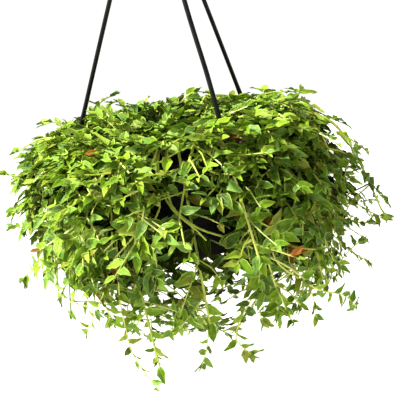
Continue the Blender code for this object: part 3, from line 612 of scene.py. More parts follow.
# The pale edge, partly a painted highlight, and how it, the paler base and underside and the shine fade with
# the tone where painted shade darkens a leaf
MARGIN_AND_HIGHLIGHT_STEP = (0.76, 0.98)
EDGE_BY_TONE = (-0.10, 0.30, 0.04, 0.72)
BASE_STEP = (0.16, 0.0, 0.0, 0.45)
GLOSS_STEP = (0.2, 0.8, 0.30, 0.50)

# The stems' paint
STEM_COLOUR = (0.40, 0.50, 0.15)
STEM_ROUGHNESS = 0.45
STEM_PATCH_SCALE = 70.0
STEM_PATCH_TONE = (0.5, -0.25)
STEM_RIB_SCALE = 300.0
STEM_RIB_STRETCH = (1.0, 1.0, 0.15)
STEM_RELIEF = (0.0004, 0.3)
# Both plastics: roughness, fineness of the grain, darkest and lightest tone, and shine
# The pot's tones are darker than the hanger's: painted shade where the pot shows between the leaves
SHADED_POT_PLASTIC = (0.45, 900.0, 0.0010, 0.0030, 0.06)
HANGER_PLASTIC = (0.34, 1200.0, 0.0030, 0.0078, 0.12)
# Their patches, how much bluer the dark and yellower the light ones are, and their roughness
PLASTIC_PATCH_SCALE = 55.0
PLASTIC_STEP = (0.30, 0.75)
PLASTIC_BLUE = (1.1, 0.95)
PLASTIC_ROUGHENING = (-0.06, 0.10)
PLASTIC_RELIEF = (0.0003, 0.20)
# The soil and its grains: colour, roughness and pattern
SOIL_COLOUR = (0.035, 0.020, 0.012)
SOIL_ROUGHNESS = 0.92
CRUMBS = (240.0, 6.0, 0.65)
SOIL_RELIEF = (0.003, 0.8)
PERLITE_COLOUR = (0.62, 0.60, 0.54)
PERLITE_SCALE = 300.0

# The finer basket: how many sides its round forms have, the rings round the pot as depth below the
# rim and depth of the groove, the hub's shoulder and the hook's rounded end as shares
TURNED_SIDES = 96
HUB_SIDES = 64
ROD_SIDES = 16
SOCKET_SIDES = 24
DRAIN_SIDES = 20
POT_RINGS = (
    (0.080, 0.0), (0.0785, 0.0004), (0.0770, 0.0004), (0.020, 0.0), (0.0185, 0.0004), (0.0170, 0.0),
)
# The directions in degrees of the points on the pot's rounded edges
BASE_CURVE = (-60, -30, 0)
RIM_CURVE = (0, 22, 45, 67, 90)
# A small bevel as a share of the rounded edge that it belongs to
BEVEL = 0.3
# The hub's waist as a share of its height, the step below its shoulder as shares of its edge, how
# far the hook's end stands out, and the room that the arms have in their sockets, in clearances
HUB_WAIST = 0.25
HUB_STEP = (0.4, 0.2)
HOOK_END_LENGTH = 0.6
SOCKET_ROOM = 1.3
HUB_EDGE = 0.0010
HUB_SHOULDER = ((0.80, 0.56), (0.62, 0.80), (0.45, 0.93), (0.30, 1.0))
HOOK_END = ((0.35, 0.94), (0.70, 0.72), (0.92, 0.38))
SOIL_RINGS = 34
# The bevel round the soil's top, inwards and downwards, and how far below its edge lumps begin
SOIL_BEVEL = (0.0006, 0.0015)
LUMP_START = 0.001
# The soil's lumps, with the height and fineness of the smaller ones against the large
SMALLER_LUMPS = ((0.5, 2.7), (0.25, 6.1))
LUMPS_PER_METRE = 95.0
LUMP_HEIGHT = 0.0016
GRAIN_COUNT = 150
GRAIN_RING = 0.106
GRAIN_SIZES = (0.0008, 0.0021)
GRAIN_RISE = 0.0003
GRAIN_WIDTHS = (0.6, 1.0)
GRAIN_HEIGHTS = (0.5, 0.9)

# The studio
FLOOR_Z = -1.90
FLOOR_HALF = 9
SENSOR = 36.0
LIGHT_TARGET = Vector((0.0, 0.0, -0.40))
FLOOR_COLOUR = (0.62, 0.62, 0.62)
# Each light's name, kind, place, power and colour
LIGHTS = (
    ("key", "SUN", (-1.60, -0.16, 1.35), 10.4, (1.0, 0.99, 0.92)),
    ("fill", "AREA", (1.2, -1.5, 0.1), 2.2, (0.98, 1.0, 0.96)),
    ("side_fill", "AREA", (-1.9, -0.5, -0.1), 11.0, (1.0, 1.0, 0.92)),
)
LIGHT_FORMS = {"SUN": {"angle": math.radians(14.0)}, "AREA": {"shape": "DISK", "size": 1.4}}
SOFT_LIGHT = (1.0, 0.99, 0.88, 1.0)
SOFT_STRENGTH = 0.58
BACKDROP = (1.0, 1.0, 1.0, 1.0)
BACKDROP_STRENGTH = 1.05


def cos_deg(degrees):
    """The cosine of an angle in degrees."""
    return math.cos(math.radians(degrees))


def sin_deg(degrees):
    """The sine of an angle in degrees."""
    return math.sin(math.radians(degrees))


def polar(radius, degrees, z):
    """The point at a radius and an angle round the middle line."""
    return Vector((radius * cos_deg(degrees), radius * sin_deg(degrees), z))


def add_object(name, data):
    """A new object of the scene with a mesh, a camera or a light as its data."""
    thing = bpy.data.objects.new(name, data)
    bpy.context.scene.collection.objects.link(thing)
    return thing


def make_object(name, shape, material=None):
    """An object from a pair of points and faces, turned so that its faces point out."""
    points, faces = shape
    form = bmesh.new()
    corners = [form.verts.new(point) for point in points]
    for face in faces:
        form.faces.new([corners[index] for index in face])
    bmesh.ops.recalc_face_normals(form, faces=form.faces)
    mesh = bpy.data.meshes.new(name)
    form.to_mesh(mesh)
    form.free()
    if material:
        mesh.materials.append(material)
    return add_object(name, mesh)


def lathe(profile, sides):
    """The solid turned by a profile that starts and ends on the Z axis."""
    points = [Vector((0.0, 0.0, profile[0][1]))]
    for radius, z in profile[1:-1]:
        points += [polar(radius, 360.0 * side / sides, z) for side in range(sides)]
    points.append(Vector((0.0, 0.0, profile[-1][1])))
    rings = len(profile) - 2
    last = len(points) - 1
    faces = []
    for side in range(sides):
        after = (side + 1) % sides
        faces.append((0, 1 + side, 1 + after))
        faces.append((last, last - sides + after, last - sides + side))
        for ring in range(rings - 1):
            low = 1 + ring * sides
            high = low + sides
            faces.append((low + side, high + side, high + after, low + after))
    return points, faces


def sweep(centres, across, ups, radii_across, radii_up, sides, turn=0.0):
    """A tube through the centres, with its section's two half widths given at each centre."""
    points = []
    for centre, side_axis, up_axis, half_side, half_up in zip(centres, across, ups, radii_across, radii_up):
        for corner in range(sides):
            angle = 2.0 * math.pi * corner / sides + turn
            sideways = side_axis * (half_side * math.cos(angle))
            points.append(centre + sideways + up_axis * (half_up * math.sin(angle)))
    faces = [tuple(reversed(range(sides)))]
    for ring in range(len(centres) - 1):
        for corner in range(sides):
            after = (corner + 1) % sides
            low = ring * sides
            high = low + sides
            faces.append((low + corner, low + after, high + after, high + corner))
    top = (len(centres) - 1) * sides
    faces.append(tuple(range(top, top + sides)))
    return points, faces


def tube(centres, radii, sides):
    """A round tube through the centres, its section carried along without twisting."""
    tangents = []
    for index, centre in enumerate(centres):
        before = centres[max(index - 1, 0)]
        after = centres[min(index + 1, len(centres) - 1)]
        tangents.append((after - before).normalized())
    helper = UP
    if abs(tangents[0].dot(helper)) > 0.9:
        helper = Vector((centres[-1].x, centres[-1].y, 0.0))
        if helper.length < 1e-6 or abs(tangents[0].dot(helper.normalized())) > 0.9:
            helper = Vector((1.0, 0.0, 0.0))
    side_axis = tangents[0].cross(helper).normalized()
    across = []
    ups = []
    for tangent in tangents:
        side_axis = (side_axis - tangent * side_axis.dot(tangent)).normalized()
        across.append(side_axis.copy())
        ups.append(tangent.cross(side_axis))
    return sweep(centres, across, ups, radii, radii, sides)


def box(centre, axes, halves):
    """A block from its centre, its three axes and its half sizes."""
    points = []
    for x in (-1, 1):
        for y in (-1, 1):
            for z in (-1, 1):
                offset = axes[0] * (x * halves[0]) + axes[1] * (y * halves[1])
                points.append(centre + offset + axes[2] * (z * halves[2]))
    faces = [(0, 1, 3, 2), (4, 6, 7, 5), (0, 4, 5, 1), (2, 3, 7, 6), (0, 2, 6, 4), (1, 5, 7, 3)]
    return points, faces


def bake(thing):
    """Keeps the mesh that the object's modifiers make, and removes the modifiers."""
    graph = bpy.context.evaluated_depsgraph_get()
    mesh = bpy.data.meshes.new_from_object(thing.evaluated_get(graph))
    thing.modifiers.clear()
    old = thing.data
    thing.data = mesh
    bpy.data.meshes.remove(old)


def combine(thing, shapes, operation):
    """One exact Boolean of the object with every shape, applied."""
    helpers = bpy.data.collections.new(thing.name + "_helpers")
    bpy.context.scene.collection.children.link(helpers)
    made = [make_object(f"{thing.name}_helper_{i}", shape) for i, shape in enumerate(shapes)]
    for helper in made:
        bpy.context.scene.collection.objects.unlink(helper)
        helpers.objects.link(helper)
    modifier = thing.modifiers.new("combine", "BOOLEAN")
    modifier.operation = operation
    modifier.solver = "EXACT"
    modifier.operand_type = "COLLECTION"
    modifier.collection = helpers
    bpy.context.view_layer.update()
    bake(thing)
    for helper in made:
        mesh = helper.data
        bpy.data.objects.remove(helper, do_unlink=True)
        bpy.data.meshes.remove(mesh)
    bpy.data.collections.remove(helpers)


def finish_smooth(thing):
    """Smooth faces with sharp edges where they meet at a steep angle."""
    thing.data.shade_smooth()
    thing.data.set_sharp_from_angle(angle=math.radians(SMOOTH_ANGLE))


# The basket and the hanger


def pot_outer_radius(z):
    """The outer radius of the pot's tapered wall at a height."""
    share = (z - (RIM_Z - POT_HEIGHT)) / POT_HEIGHT
    return POT_BASE_RADIUS + (POT_TOP_RADIUS - POT_BASE_RADIUS) * share


def foot_centre(degrees):
    """The middle of the cross-piece that holds an arm under the flange."""
    drop = FLANGE_THICKNESS + CLEARANCE + 0.5 * FOOT_THICKNESS
    return polar(ARM_FOOT_RADIUS, degrees, RIM_Z - drop)


def soil_profile():
    """The soil's section: bottom, side, edge of the top, shoulder and middle."""
    bottom = RIM_Z - POT_HEIGHT + BASE_THICKNESS + CLEARANCE
    top = RIM_Z - SOIL_BELOW_RIM
    slope = (POT_TOP_RADIUS - POT_BASE_RADIUS) / (POT_HEIGHT - BASE_THICKNESS)
    edge = POT_BASE_RADIUS - WALL - SOIL_ROOM * CLEARANCE
    return [
        (0.0, bottom),
        (edge, bottom),
        (edge + slope * (top - bottom), top),
        (SOIL_SHOULDER_RADIUS, top + SOIL_SHOULDER_SHARE * SOIL_DOME),
        (0.0, top + SOIL_DOME),
    ]


def soil_height(radius):
    """The height of the soil's gently domed top at a distance from the middle."""
    (outer, outer_z), (inner, inner_z), (_, middle_z) = soil_profile()[2:]
    if radius < inner:
        return middle_z + (inner_z - middle_z) * radius / inner
    return inner_z + (outer_z - inner_z) * (radius - inner) / (outer - inner)


def arm_centres(name):
    """Points down one arm: its slanting run, then the short upright end in the pot's slot."""
    angle = ARM_ANGLES[name]
    apex = RIM_Z + ARM_APEX_HEIGHT
    slope = ARM_FOOT_RADIUS / ARM_APEX_HEIGHT
    top_radius = SOCKET_RING - ARM_INSERTION * SOCKET_DEPTH * slope
    knee_radius = ARM_FOOT_RADIUS - ARM_KNEE_SETBACK
    centres = []
    for section in range(ARM_SECTIONS):
        share = section / (ARM_SECTIONS - 1)
        radius = top_radius + (knee_radius - top_radius) * share
        z = apex - radius / slope
        bow = ARM_BOWS[name] * math.sin(math.pi * share)
        sway = polar(ARM_SWAYS[name] * math.sin(math.pi * share) ** 4, angle + 90.0, 0.0)
        centres.append(polar(radius + bow, angle, z + bow * slope) + sway)
    centres.append(polar(ARM_FOOT_RADIUS, angle, RIM_Z - ARM_KNEE_DROP))
    centres.append(polar(ARM_FOOT_RADIUS, angle, foot_centre(angle).z))
    return centres


def hub_bottom():
    """The height at which the three arms enter the hub."""
    return RIM_Z + ARM_APEX_HEIGHT - SOCKET_RING * ARM_APEX_HEIGHT / ARM_FOOT_RADIUS


def hook_centres():
    """Up from the hub, round the side of the hook, over its seat and down to its open end."""
    loop = HOOK_INNER_RADIUS + HOOK_ROD_RADIUS
    top = hub_bottom() + HUB_HEIGHT
    centres = [Vector((0.0, 0.0, top - HOOK_ROOT_DEPTH)), Vector((0.0, 0.0, top + HOOK_NECK_RISE))]
    neck = -HOOK_INNER_RADIUS - HOOK_NECK_SHARE * loop
    centres.append(Vector((HOOK_NECK_SHIFT, 0.0, neck)))
    for degrees in HOOK_DEGREES:
        x = loop * cos_deg(degrees)
        z = loop * sin_deg(degrees) - HOOK_INNER_RADIUS
        centres.append(Vector((x, 0.0, z)))
    return centres


# The solids' own stems and leaves, grown again by the rules that made them


def outward(point):
    """The direction in which the dome of leaves faces at a point, leaning a little upwards."""
    height = point.z - DOME_Z
    facing = Vector((point.x / FACING_RADIUS**2, point.y / FACING_RADIUS**2, height / FACING_HEIGHT**2))
    return (facing.normalized() + FACING_LIFT * UP).normalized()


def leaf_frame(along, facing):
    """The leaf's own axes: to its tip, across it, and square to its upper face."""
    across = facing.cross(along).normalized()
    return along, across, along.cross(across).normalized()


def blade_points(root, frame, length, margin=0.0):
    """The blade's outline, upper and lower, on each side of the midrib, then its tip."""
    along, across, facing = frame
    half = 0.5 * LEAF_WIDTH_SHARE * length
    thickness = LEAF_THICKNESS + 2.0 * margin
    points = []
    for side in (1, -1):
        for share, width in BLADE_OUTLINE:
            x = share * length
            y = width * half + margin
            rise = LEAF_FOLD * y - LEAF_DROOP * x * x / length
            for height in (rise + 0.5 * thickness, rise - 0.5 * thickness):
                points.append(root + along * x + across * (side * y) + facing * height)
    points.append(root + along * (length + margin) - facing * (LEAF_DROOP * length))
    return points


def blade_faces(ring, first):
    """The faces from the leaf's three-cornered root to its tip, where its points start at first."""
    top, right, left = ring
    tip = first + 8
    faces = [(left, right, tip)]
    for low, base, mirrored in ((left, first, False), (right, first + 4, True)):
        wide_top, wide_low, narrow_top, narrow_low = range(base, base + 4)
        half = [
            (top, narrow_top, wide_top),
            (top, tip, narrow_top),
            (low, wide_low, narrow_low),
            (low, narrow_low, tip),
            (top, wide_low, low),
            (top, wide_top, wide_low),
            (wide_top, narrow_low, wide_low),
            (wide_top, narrow_top, narrow_low),
            (narrow_top, tip, narrow_low),
        ]
        faces += [face[::-1] if mirrored else face for face in half]
    return faces


def root_ring(root, normal, facing, radius):
    """Three points round the leaf's root in the plane of the stem's facet, the first on top."""
    up = (facing - normal * facing.dot(normal)).normalized()
    side = normal.cross(up)
    ring = []
    for turn in (0.0, 120.0, 240.0):
        ring.append(root + (up * cos_deg(turn) + side * sin_deg(turn)) * radius)
    return ring


def leaf_solid(root, frame, length, margin=0.0):
    """The leaf as a closed shape of its own, to test what it would touch."""
    along, _, facing = frame
    points = root_ring(root, along, facing, NECK_RADIUS + margin)
    points += blade_points(root, frame, length, margin)
    return points, blade_faces((0, 1, 2), 3) + [(0, 2, 1)]


def bezier(a, b, c, share):
    """A point on the curve from a to c that bends towards b."""
    return a * (1 - share) ** 2 + b * (2 * share * (1 - share)) + c * share**2


def stem_points(kind, angle, draw):
    """The route of one stem, from the bottom of its hole in the soil to its tip."""
    rule = KINDS[kind]
    steep = kind in HANGING_KINDS
    root_radius = rule["root"] + draw.uniform(*ROOT_CHANCE)
    rise = rule["slope"] * cos_deg(angle - HIGH_ANGLE)
    over = rule["over"] + draw.uniform(*OVER_CHANCE) + rise
    reach = rule["reach"] + draw.uniform(*REACH_CHANCE) - LEAN * cos_deg(angle)
    tip = rule["tip"] + draw.uniform(*TIP_CHANCE) + rise
    longest = max(0.0, cos_deg(angle - LONGEST_ANGLE)) ** LONGEST_FOCUS if kind == "trail" else 0.0
    tip -= LONGEST_EXTRA * longest
    if steep:
        tip += LEFT_LIFT * max(0.0, -cos_deg(angle)) ** 2 - BACK_DROP * max(0.0, sin_deg(angle))
    if kind == "side":
        sprig = max(0.0, cos_deg(angle - SPRIG_ANGLE)) ** SPRIG_FOCUS
        reach += SPRIG_EXTRA * sprig
        tip -= SPRIG_DROP * sprig
    drift = draw.uniform(*DRIFT_CHANCE) + LONGEST_TURN * longest
    root = polar(root_radius, angle, soil_height(root_radius))
    end = polar(reach, angle + drift, RIM_Z + tip)
    points = [root - HOLE_DEPTH * UP, root + HOLE_MOUTH * UP]
    if kind == "crown":
        crest = polar(CREST_SHARES[0] * root_radius + CREST_SHARES[1] * reach, angle, RIM_Z + over)
        return points + [bezier(points[1], crest, end, share) for share in CROWN_POINTS]
    crossing = polar(RIM_RADIUS - CROSSING_SETBACK, angle, RIM_Z + over)
    knee_radius = 0.5 * (root_radius + RIM_RADIUS) - KNEE_SETBACK
    knee = polar(knee_radius, angle, RIM_Z + over + KNEE_RISE)
    points += [bezier(points[1], knee, crossing, share) for share in RISE_POINTS]
    bend = max(reach, STEEP_BEND) if steep else SLANT_BEND + (reach - SLANT_BEND) * SLANT_SHARE
    elbow = polar(bend, angle + ELBOW_TURN * drift, RIM_Z + over - ELBOW_DROP)
    shares = STEEP_POINTS if steep else SLANT_POINTS
    points += [bezier(crossing, elbow, end, share) for share in shares]
    points[-1] = points[-1] + polar(TIP_STEP[0], angle + drift, TIP_STEP[1])
    return points


def along_route(points, share):
    """The point and direction at a share of the route above the soil."""
    run = points[1:]
    lengths = [(b - a).length for a, b in zip(run, run[1:])]
    left = share * sum(lengths)
    for index, length in enumerate(lengths):
        if left <= length or index == len(lengths) - 1:
            part = min(left / length, 1.0)
            direction = (run[index + 1] - run[index]).normalized()
            return run[index].lerp(run[index + 1], part), direction
        left -= length
    return run[-1], (run[-1] - run[-2]).normalized()


def shoot_points(start, direction, side, draw, length):
    """A short side shoot that leaves its stem sideways and outwards."""
    facing = outward(start)
    sideways = direction.cross(facing).normalized() * side
    drop = draw.uniform(*OWN_SHOOT_DROP)
    way = direction * 0.55 + sideways * 0.75 + facing * 0.30 - drop * UP
    return [start, start + way.normalized() * length]


def leaf_directions(point, direction, side, spread, draw):
    """Which way a leaf points and faces. Spread is its angle from the stem in degrees."""
    facing = outward(point)
    if abs(direction.dot(facing)) > MOST_PARALLEL:
        facing = (facing + polar(0.3, 40.0, 0.8)).normalized()
    sideways = direction.cross(facing).normalized()
    turn = math.radians(spread)
    along = direction * math.cos(turn) + sideways * (side * math.sin(turn))
    along = (along + facing * draw.uniform(*LEAF_OUTWARDS)).normalized()
    tilt = Matrix.Rotation(draw.uniform(*LEAF_TILT), 3, along)
    return along, tilt @ facing


def tree_of(shapes):
    """One search tree of the faces of several shapes."""
    points = []
    faces = []
    for shape_points, shape_faces in shapes:
        base = len(points)
        points += shape_points
        faces += [tuple(base + index for index in face) for face in shape_faces]
    return BVHTree.FromPolygons(points, faces)


def below_soil(shape):
    """Whether any point of a shape lies in the soil or too close above it."""
    for point in shape[0]:
        radius = math.hypot(point.x, point.y)
        if radius < POT_TOP_RADIUS and point.z < soil_height(radius) + 2.0 * TEST_MARGIN:
            return True
    return False


def is_clear(shape, trees):
    """Whether a shape crosses none of the trees' faces."""
    tree = tree_of([shape])
    return not any(tree.overlap(other) for other in trees)


def tapering(count, radius, tip_radius):
    """Radii that shrink evenly from one end to the other."""
    return [radius + (tip_radius - radius) * i / (count - 1) for i in range(count)]


def stem_shape(points, radius, tip_radius):
    """The stem with a margin round it, to test what it would touch."""
    margin = 2.0 * TEST_MARGIN
    return tube(points, tapering(len(points), radius + margin, tip_radius + margin), STEM_SIDES)


def find_stems(kind, angle, draw, trees):
    """A stem and two side shoots that touch nothing that stands already."""
    for _ in range(STEM_TRIES):
        main = stem_points(kind, angle + draw.uniform(*ANGLE_CHANCE), draw)
        side = draw.choice((-1, 1))
        shoots = []
        for share, turn in zip(SHOOT_PLACES, (side, -side)):
            start, direction = along_route(main, share)
            length = draw.uniform(*OWN_SHOOT_LENGTHS)
            shoots.append(shoot_points(start, direction, turn, draw, length))
        tests = [stem_shape(shoot, SHOOT_RADIUS, STEM_TIP_RADIUS) for shoot in shoots]
        if any(below_soil(test) for test in tests):
            continue
        tests.append(stem_shape(main, STEM_RADIUS, STEM_TIP_RADIUS))
        if all(is_clear(test, trees) for test in tests):
            return main, shoots
    return None


class Growth:
    """One stem as a single closed mesh. Leaves and shoots are raised from its own facets."""

    def __init__(self, centres, radii):
        self.points, walls = tube(centres, radii, STEM_SIDES)
        self.faces = [walls[0]]
        self.facets = []
        rings = [list(range(i * STEM_SIDES, (i + 1) * STEM_SIDES)) for i in range(len(centres))]
        for index in range(len(centres) - 1):
            axis = 0.5 * (centres[index] + centres[index + 1])
            self.add_walls(rings[index], rings[index + 1], axis, index > 0)
        self.tip = self.facing_out(rings[-1], centres[-2])

    def facing_out(self, corners, inside):
        """The corners in the order that makes their face point away from an inner point."""
        a, b, c = (self.points[index] for index in corners)
        if (b - a).cross(c - a).dot(a - inside) < 0.0:
            return [corners[0], corners[2], corners[1]]
        return list(corners)

    def add_walls(self, low, high, axis, usable):
        """Joins two rings of points, and lists each facet that a leaf or shoot can leave."""
        for corner in range(STEM_SIDES):
            after = (corner + 1) % STEM_SIDES
            lower = (low[corner], low[after], high[after])
            upper = (high[after], high[corner], low[corner])
            for triangle in (lower, upper):
                corners = tuple(self.facing_out(triangle, axis))
                self.faces.append(corners)
                if usable:
                    self.facets.append(self.facet_of(triangle, corners))

    def facet_of(self, triangle, corners):
        """A facet's corners, the spot for a root, its normal and its width at that spot."""
        start, end, apex = (self.points[index] for index in triangle)
        spot = (0.5 * (start + end)).lerp(apex, FACET_SHARE)
        width = (start - end).length * (1.0 - FACET_SHARE)
        a, b, c = (self.points[index] for index in corners)
        return corners, spot, (b - a).cross(c - a).normalized(), width

    def near_facets(self, point, along):
        """The free facets near a point that a shoot in this direction can leave, nearest first."""
        found = []
        for order, facet in enumerate(self.facets):
            lean = facet[2].dot(along)
            cost = (facet[1] - point).length + LEAN_COST * (1.0 - lean)
            if lean > LEAST_LEAN and cost < MOST_SHIFT:
                found.append((cost, order, facet))
        return [facet for _, _, facet in sorted(found, key=lambda item: item[:2])]

    def state(self):
        """What restore needs to undo the leaves and shoots added since."""
        return len(self.points), list(self.faces), list(self.facets)

    def restore(self, state):
        """Goes back to a state that was noted before."""
        del self.points[state[0]:]
        self.faces = state[1]
        self.facets = state[2]

    def crosses_itself(self, old_faces):
        """Whether a face added since then passes through any face that it doesn't meet."""
        known = set(old_faces)
        fresh = [face for face in self.faces if face not in known]
        tree = BVHTree.FromPolygons(self.points, fresh)
        whole = BVHTree.FromPolygons(self.points, self.faces)
        for one, other in tree.overlap(whole):
            if not set(fresh[one]) & set(self.faces[other]):
                return True
        return False

    def open_facet(self, facet, facing):
        """Replaces a facet by a collar round three new points, and returns their indices."""
        corners, spot, normal, width = facet
        ring_points = root_ring(spot, normal, facing, ROOT_SHARE * width)
        first = len(self.points)
        ring = [first, first + 1, first + 2]
        self.points += ring_points
        collar = self.collar_faces(corners, ring, normal)
        if collar is None:
            del self.points[first:]
            return None
        self.faces.remove(corners)
        self.facets.remove(facet)
        self.faces += collar
        return ring

    def collar_faces(self, outer, ring, normal):
        """The six triangles between a facet's corners and the ring, or none if one would fold."""
        for shift in range(3):
            inner = ring[shift:] + ring[:shift]
            faces = []
            for k in range(3):
                after = (k + 1) % 3
                quad = (outer[k], outer[after], inner[after], inner[k])
                faces += self.split_quad(quad, normal)
            if len(faces) == 6:
                return faces
        return None

    def split_quad(self, quad, normal):
        """The quad's two triangles, if some diagonal leaves both facing out."""
        a, b, c, d = quad
        for pair in (((a, b, c), (a, c, d)), ((a, b, d), (b, c, d))):
            sizes = []
            for x, y, z in pair:
                p, q, r = self.points[x], self.points[y], self.points[z]
                sizes.append((q - p).cross(r - p).dot(normal))
            if min(sizes) > LEAST_AREA:
                return list(pair)
        return []

    def add_leaf(self, ring, root, frame, length):
        """A leaf whose blade starts from a ring of three points."""
        first = len(self.points)
        self.points += blade_points(root, frame, length)
        self.faces += blade_faces(ring, first)

    def add_shoot(self, start, end):
        """A straight side shoot of one run, and its own tip's three corners."""
        way = (end - start).normalized()
        facets = self.near_facets(start, way)
        before = self.state()
        ring = self.open_facet(facets[0], outward(start)) if facets else None
        if ring is None:
            return None
        facet = facets[0]
        finish = []
        for index in ring:
            offset = self.points[index] - facet[1]
            offset -= way * offset.dot(way)
            finish.append(end + offset.normalized() * SHOOT_RADIUS)
        first = len(self.points)
        self.points += finish
        far = [first, first + 1, first + 2]
        self.add_walls(ring, far, 0.5 * (facet[1] + end), True)
        if self.crosses_itself(before[1]):
            self.restore(before)
            return None
        return facet[1], self.facing_out(far, facet[1])


def stem_leaf_places(main, shoots):
    """Where the leaves of one stem sit: point, direction, side, angle and share of full size."""
    places = []
    for index, share in enumerate(LEAF_PLACES):
        point, direction = along_route(main, share)
        size = FIRST_SIZE - SIZE_STEP * index
        places.append((point, direction, 1 if index % 2 else -1, OWN_SPREAD, size))
    for start, end in shoots:
        direction = (end - start).normalized()
        for side, share in SHOOT_LEAF_PLACES:
            places.append((start.lerp(end, share), direction, side, OWN_SPREAD, SHOOT_LEAF_SIZE))
    return places


def settled_frame(facet, along, facing, length):
    """The leaf's axes, rolled just far enough that its blade rises clear of the facet."""
    _, spot, normal, _ = facet
    level = (normal - along * normal.dot(along)).normalized()
    if level.dot(facing) < 0.0:
        level = -level
    for share in (0.0, 0.35, 0.7, 1.0):
        frame = leaf_frame(along, facing.lerp(level, share).normalized())
        wide = blade_points(spot, frame, length)
        if min((wide[index] - spot).dot(normal) for index in (0, 1, 4, 5)) > LEAST_RISE:
            return frame
    return None


def try_leaf(growth, place, draw, trees, own):
    """One leaf, turned until it is clear of its neighbours, and then raised from its stem."""
    point, direction, side, spread, size = place
    for attempt in range(LEAF_TRIES):
        turn = spread + draw.uniform(*TURN_CHANCE) * (1.0 + TURN_GROWTH * attempt)
        along, facing = leaf_directions(point, direction, side, turn, draw)
        length = LEAF_LENGTH * size * draw.uniform(*LENGTH_CHANCE)
        for facet in growth.near_facets(point, along)[:3]:
            frame = settled_frame(facet, along, facing, length)
            if frame and raise_leaf(growth, facet, frame, length, trees, own):
                own.append(leaf_solid(facet[1], frame, length))
                return facet[1], frame, length
    return None


def raise_leaf(growth, facet, frame, length, trees, own):
    """Raises one leaf from a facet, if it touches nothing. False if it was left out."""
    wide = leaf_solid(facet[1], frame, length, TEST_MARGIN)
    if below_soil(wide) or not is_clear(wide, trees):
        return False
    outer = leaf_solid(facet[1] + frame[0] * FREE_NECK, frame, length - FREE_NECK, TEST_MARGIN)
    if not is_clear(outer, [tree_of(own)]):
        return False
    before = growth.state()
    ring = growth.open_facet(facet, frame[2])
    if ring:
        growth.add_leaf(ring, facet[1], frame, length)
        if not growth.crosses_itself(before[1]):
            return True
    growth.restore(before)
    return False


def tip_leaf(growth, tip, point, direction, size, draw, trees, own):
    """The leaf that carries on from the end of a stem or shoot, which its root closes."""
    for attempt in range(LEAF_TRIES):
        along, facing = leaf_directions(point, direction, 1, TIP_TURN * attempt, draw)
        length = LEAF_LENGTH * size * draw.uniform(*TIP_LENGTH_CHANCE)
        frame = leaf_frame(along, facing)
        wide = leaf_solid(point, frame, length, TEST_MARGIN)
        outer = leaf_solid(point + along * FREE_NECK, frame, length - FREE_NECK, TEST_MARGIN)
        if below_soil(wide) or not is_clear(wide, trees) or not is_clear(outer, [tree_of(own)]):
            continue
        heights = [(growth.points[index] - point).dot(frame[2]) for index in tip]
        top = heights.index(max(heights))
        before = growth.state()
        growth.add_leaf(tip[top:] + tip[:top], point, frame, length)
        if growth.crosses_itself(before[1]):
            growth.restore(before)
            continue
        own.append(leaf_solid(point, frame, length))
        return point, frame, length
    growth.faces.append(tuple(tip))
    return None


def grow_leaves(main, shoots, draw, trees):
    """The stem's solid, its side shoots and its leaves as root, axes and length."""
    radii = tapering(len(main), STEM_RADIUS, STEM_TIP_RADIUS)
    growth = Growth(main, radii)
    own = [tube(main, radii, STEM_SIDES)]
    grown = []
    tips = [(growth.tip, main[-1], (main[-1] - main[-2]).normalized(), STEM_TIP_SIZE)]
    for start, end in shoots:
        added = growth.add_shoot(start, end)
        if added:
            grown.append((added[0], end))
            tips.append((added[1], end, (end - added[0]).normalized(), SHOOT_TIP_SIZE))
            own.append(tube([added[0], end], [SHOOT_RADIUS] * 2, STEM_SIDES))
    leaves = [tip_leaf(growth, *tip, draw, trees, own) for tip in tips]
    for place in stem_leaf_places(main, grown):
        leaves.append(try_leaf(growth, place, draw, trees, own))
    return growth, grown, [leaf for leaf in leaves if leaf]


def vine_list():
    """Every stem's name, kind and direction, the long trailing ones first."""
    stems = []
    for slot, kind in enumerate(OUTER_ORDER):
        stems.append((kind, OUTER_START + OUTER_STEP * slot))
    for slot in range(CROWN_COUNT):
        stems.append(("crown", 20.0 + 360.0 * slot / CROWN_COUNT))
    ranks = {"trail": 0, "skirt": 1, "side": 2, "shoulder": 3, "crown": 4}
    stems.sort(key=lambda stem: ranks[stem[0]])
    counts = dict.fromkeys(KINDS, 0)
    named = []
    for kind, angle in stems:
        counts[kind] += 1
        named.append((f"{kind}_vine_{counts[kind]:02d}", kind, angle))
    return named


# The finer foliage


def blade_template(rows, columns):
    """The points of one leaf as shares along and across, its half width there and its underside
    mark, with the faces of a closed blade. The tip comes last."""
    places = []
    for share, width in rows:
        places += [(share, column, width, 0.0) for column in columns]
        places.append((share, 0.0, width, 1.0))
    places.append((1.0, 0.0, 0.0, 0.0))
    last = len(columns) - 1
    step = len(columns) + 1
    tip = len(places) - 1
    faces = [tuple(range(len(columns))) + (last + 1,)]
    for row in range(len(rows) - 1):
        a = row * step
        b = a + step
        for k in range(last):
            faces.append((a + k, b + k, b + k + 1, a + k + 1))
        faces.append((a, a + last + 1, b + last + 1, b))
        faces.append((a + last + 1, a + last, b + last, b + last + 1))
    a = tip - step
    for k in range(last):
        faces.append((a + k, tip, a + k + 1))
    faces.append((a, a + last + 1, tip))
    faces.append((a + last + 1, a + last, tip))
    return np.array(places), faces


TEMPLATES = {"full": blade_template(*FULL_LEAF), "small": blade_template(*SMALL_LEAF)}


def dome_share(point):
    """How far out in the plant's dome a point lies, from 0 in its middle to 1 at its surface."""
    height = point.z - DOME_Z
    return math.hypot(point.x / DOME_RADIUS, point.y / DOME_RADIUS, height / DOME_HEIGHT)


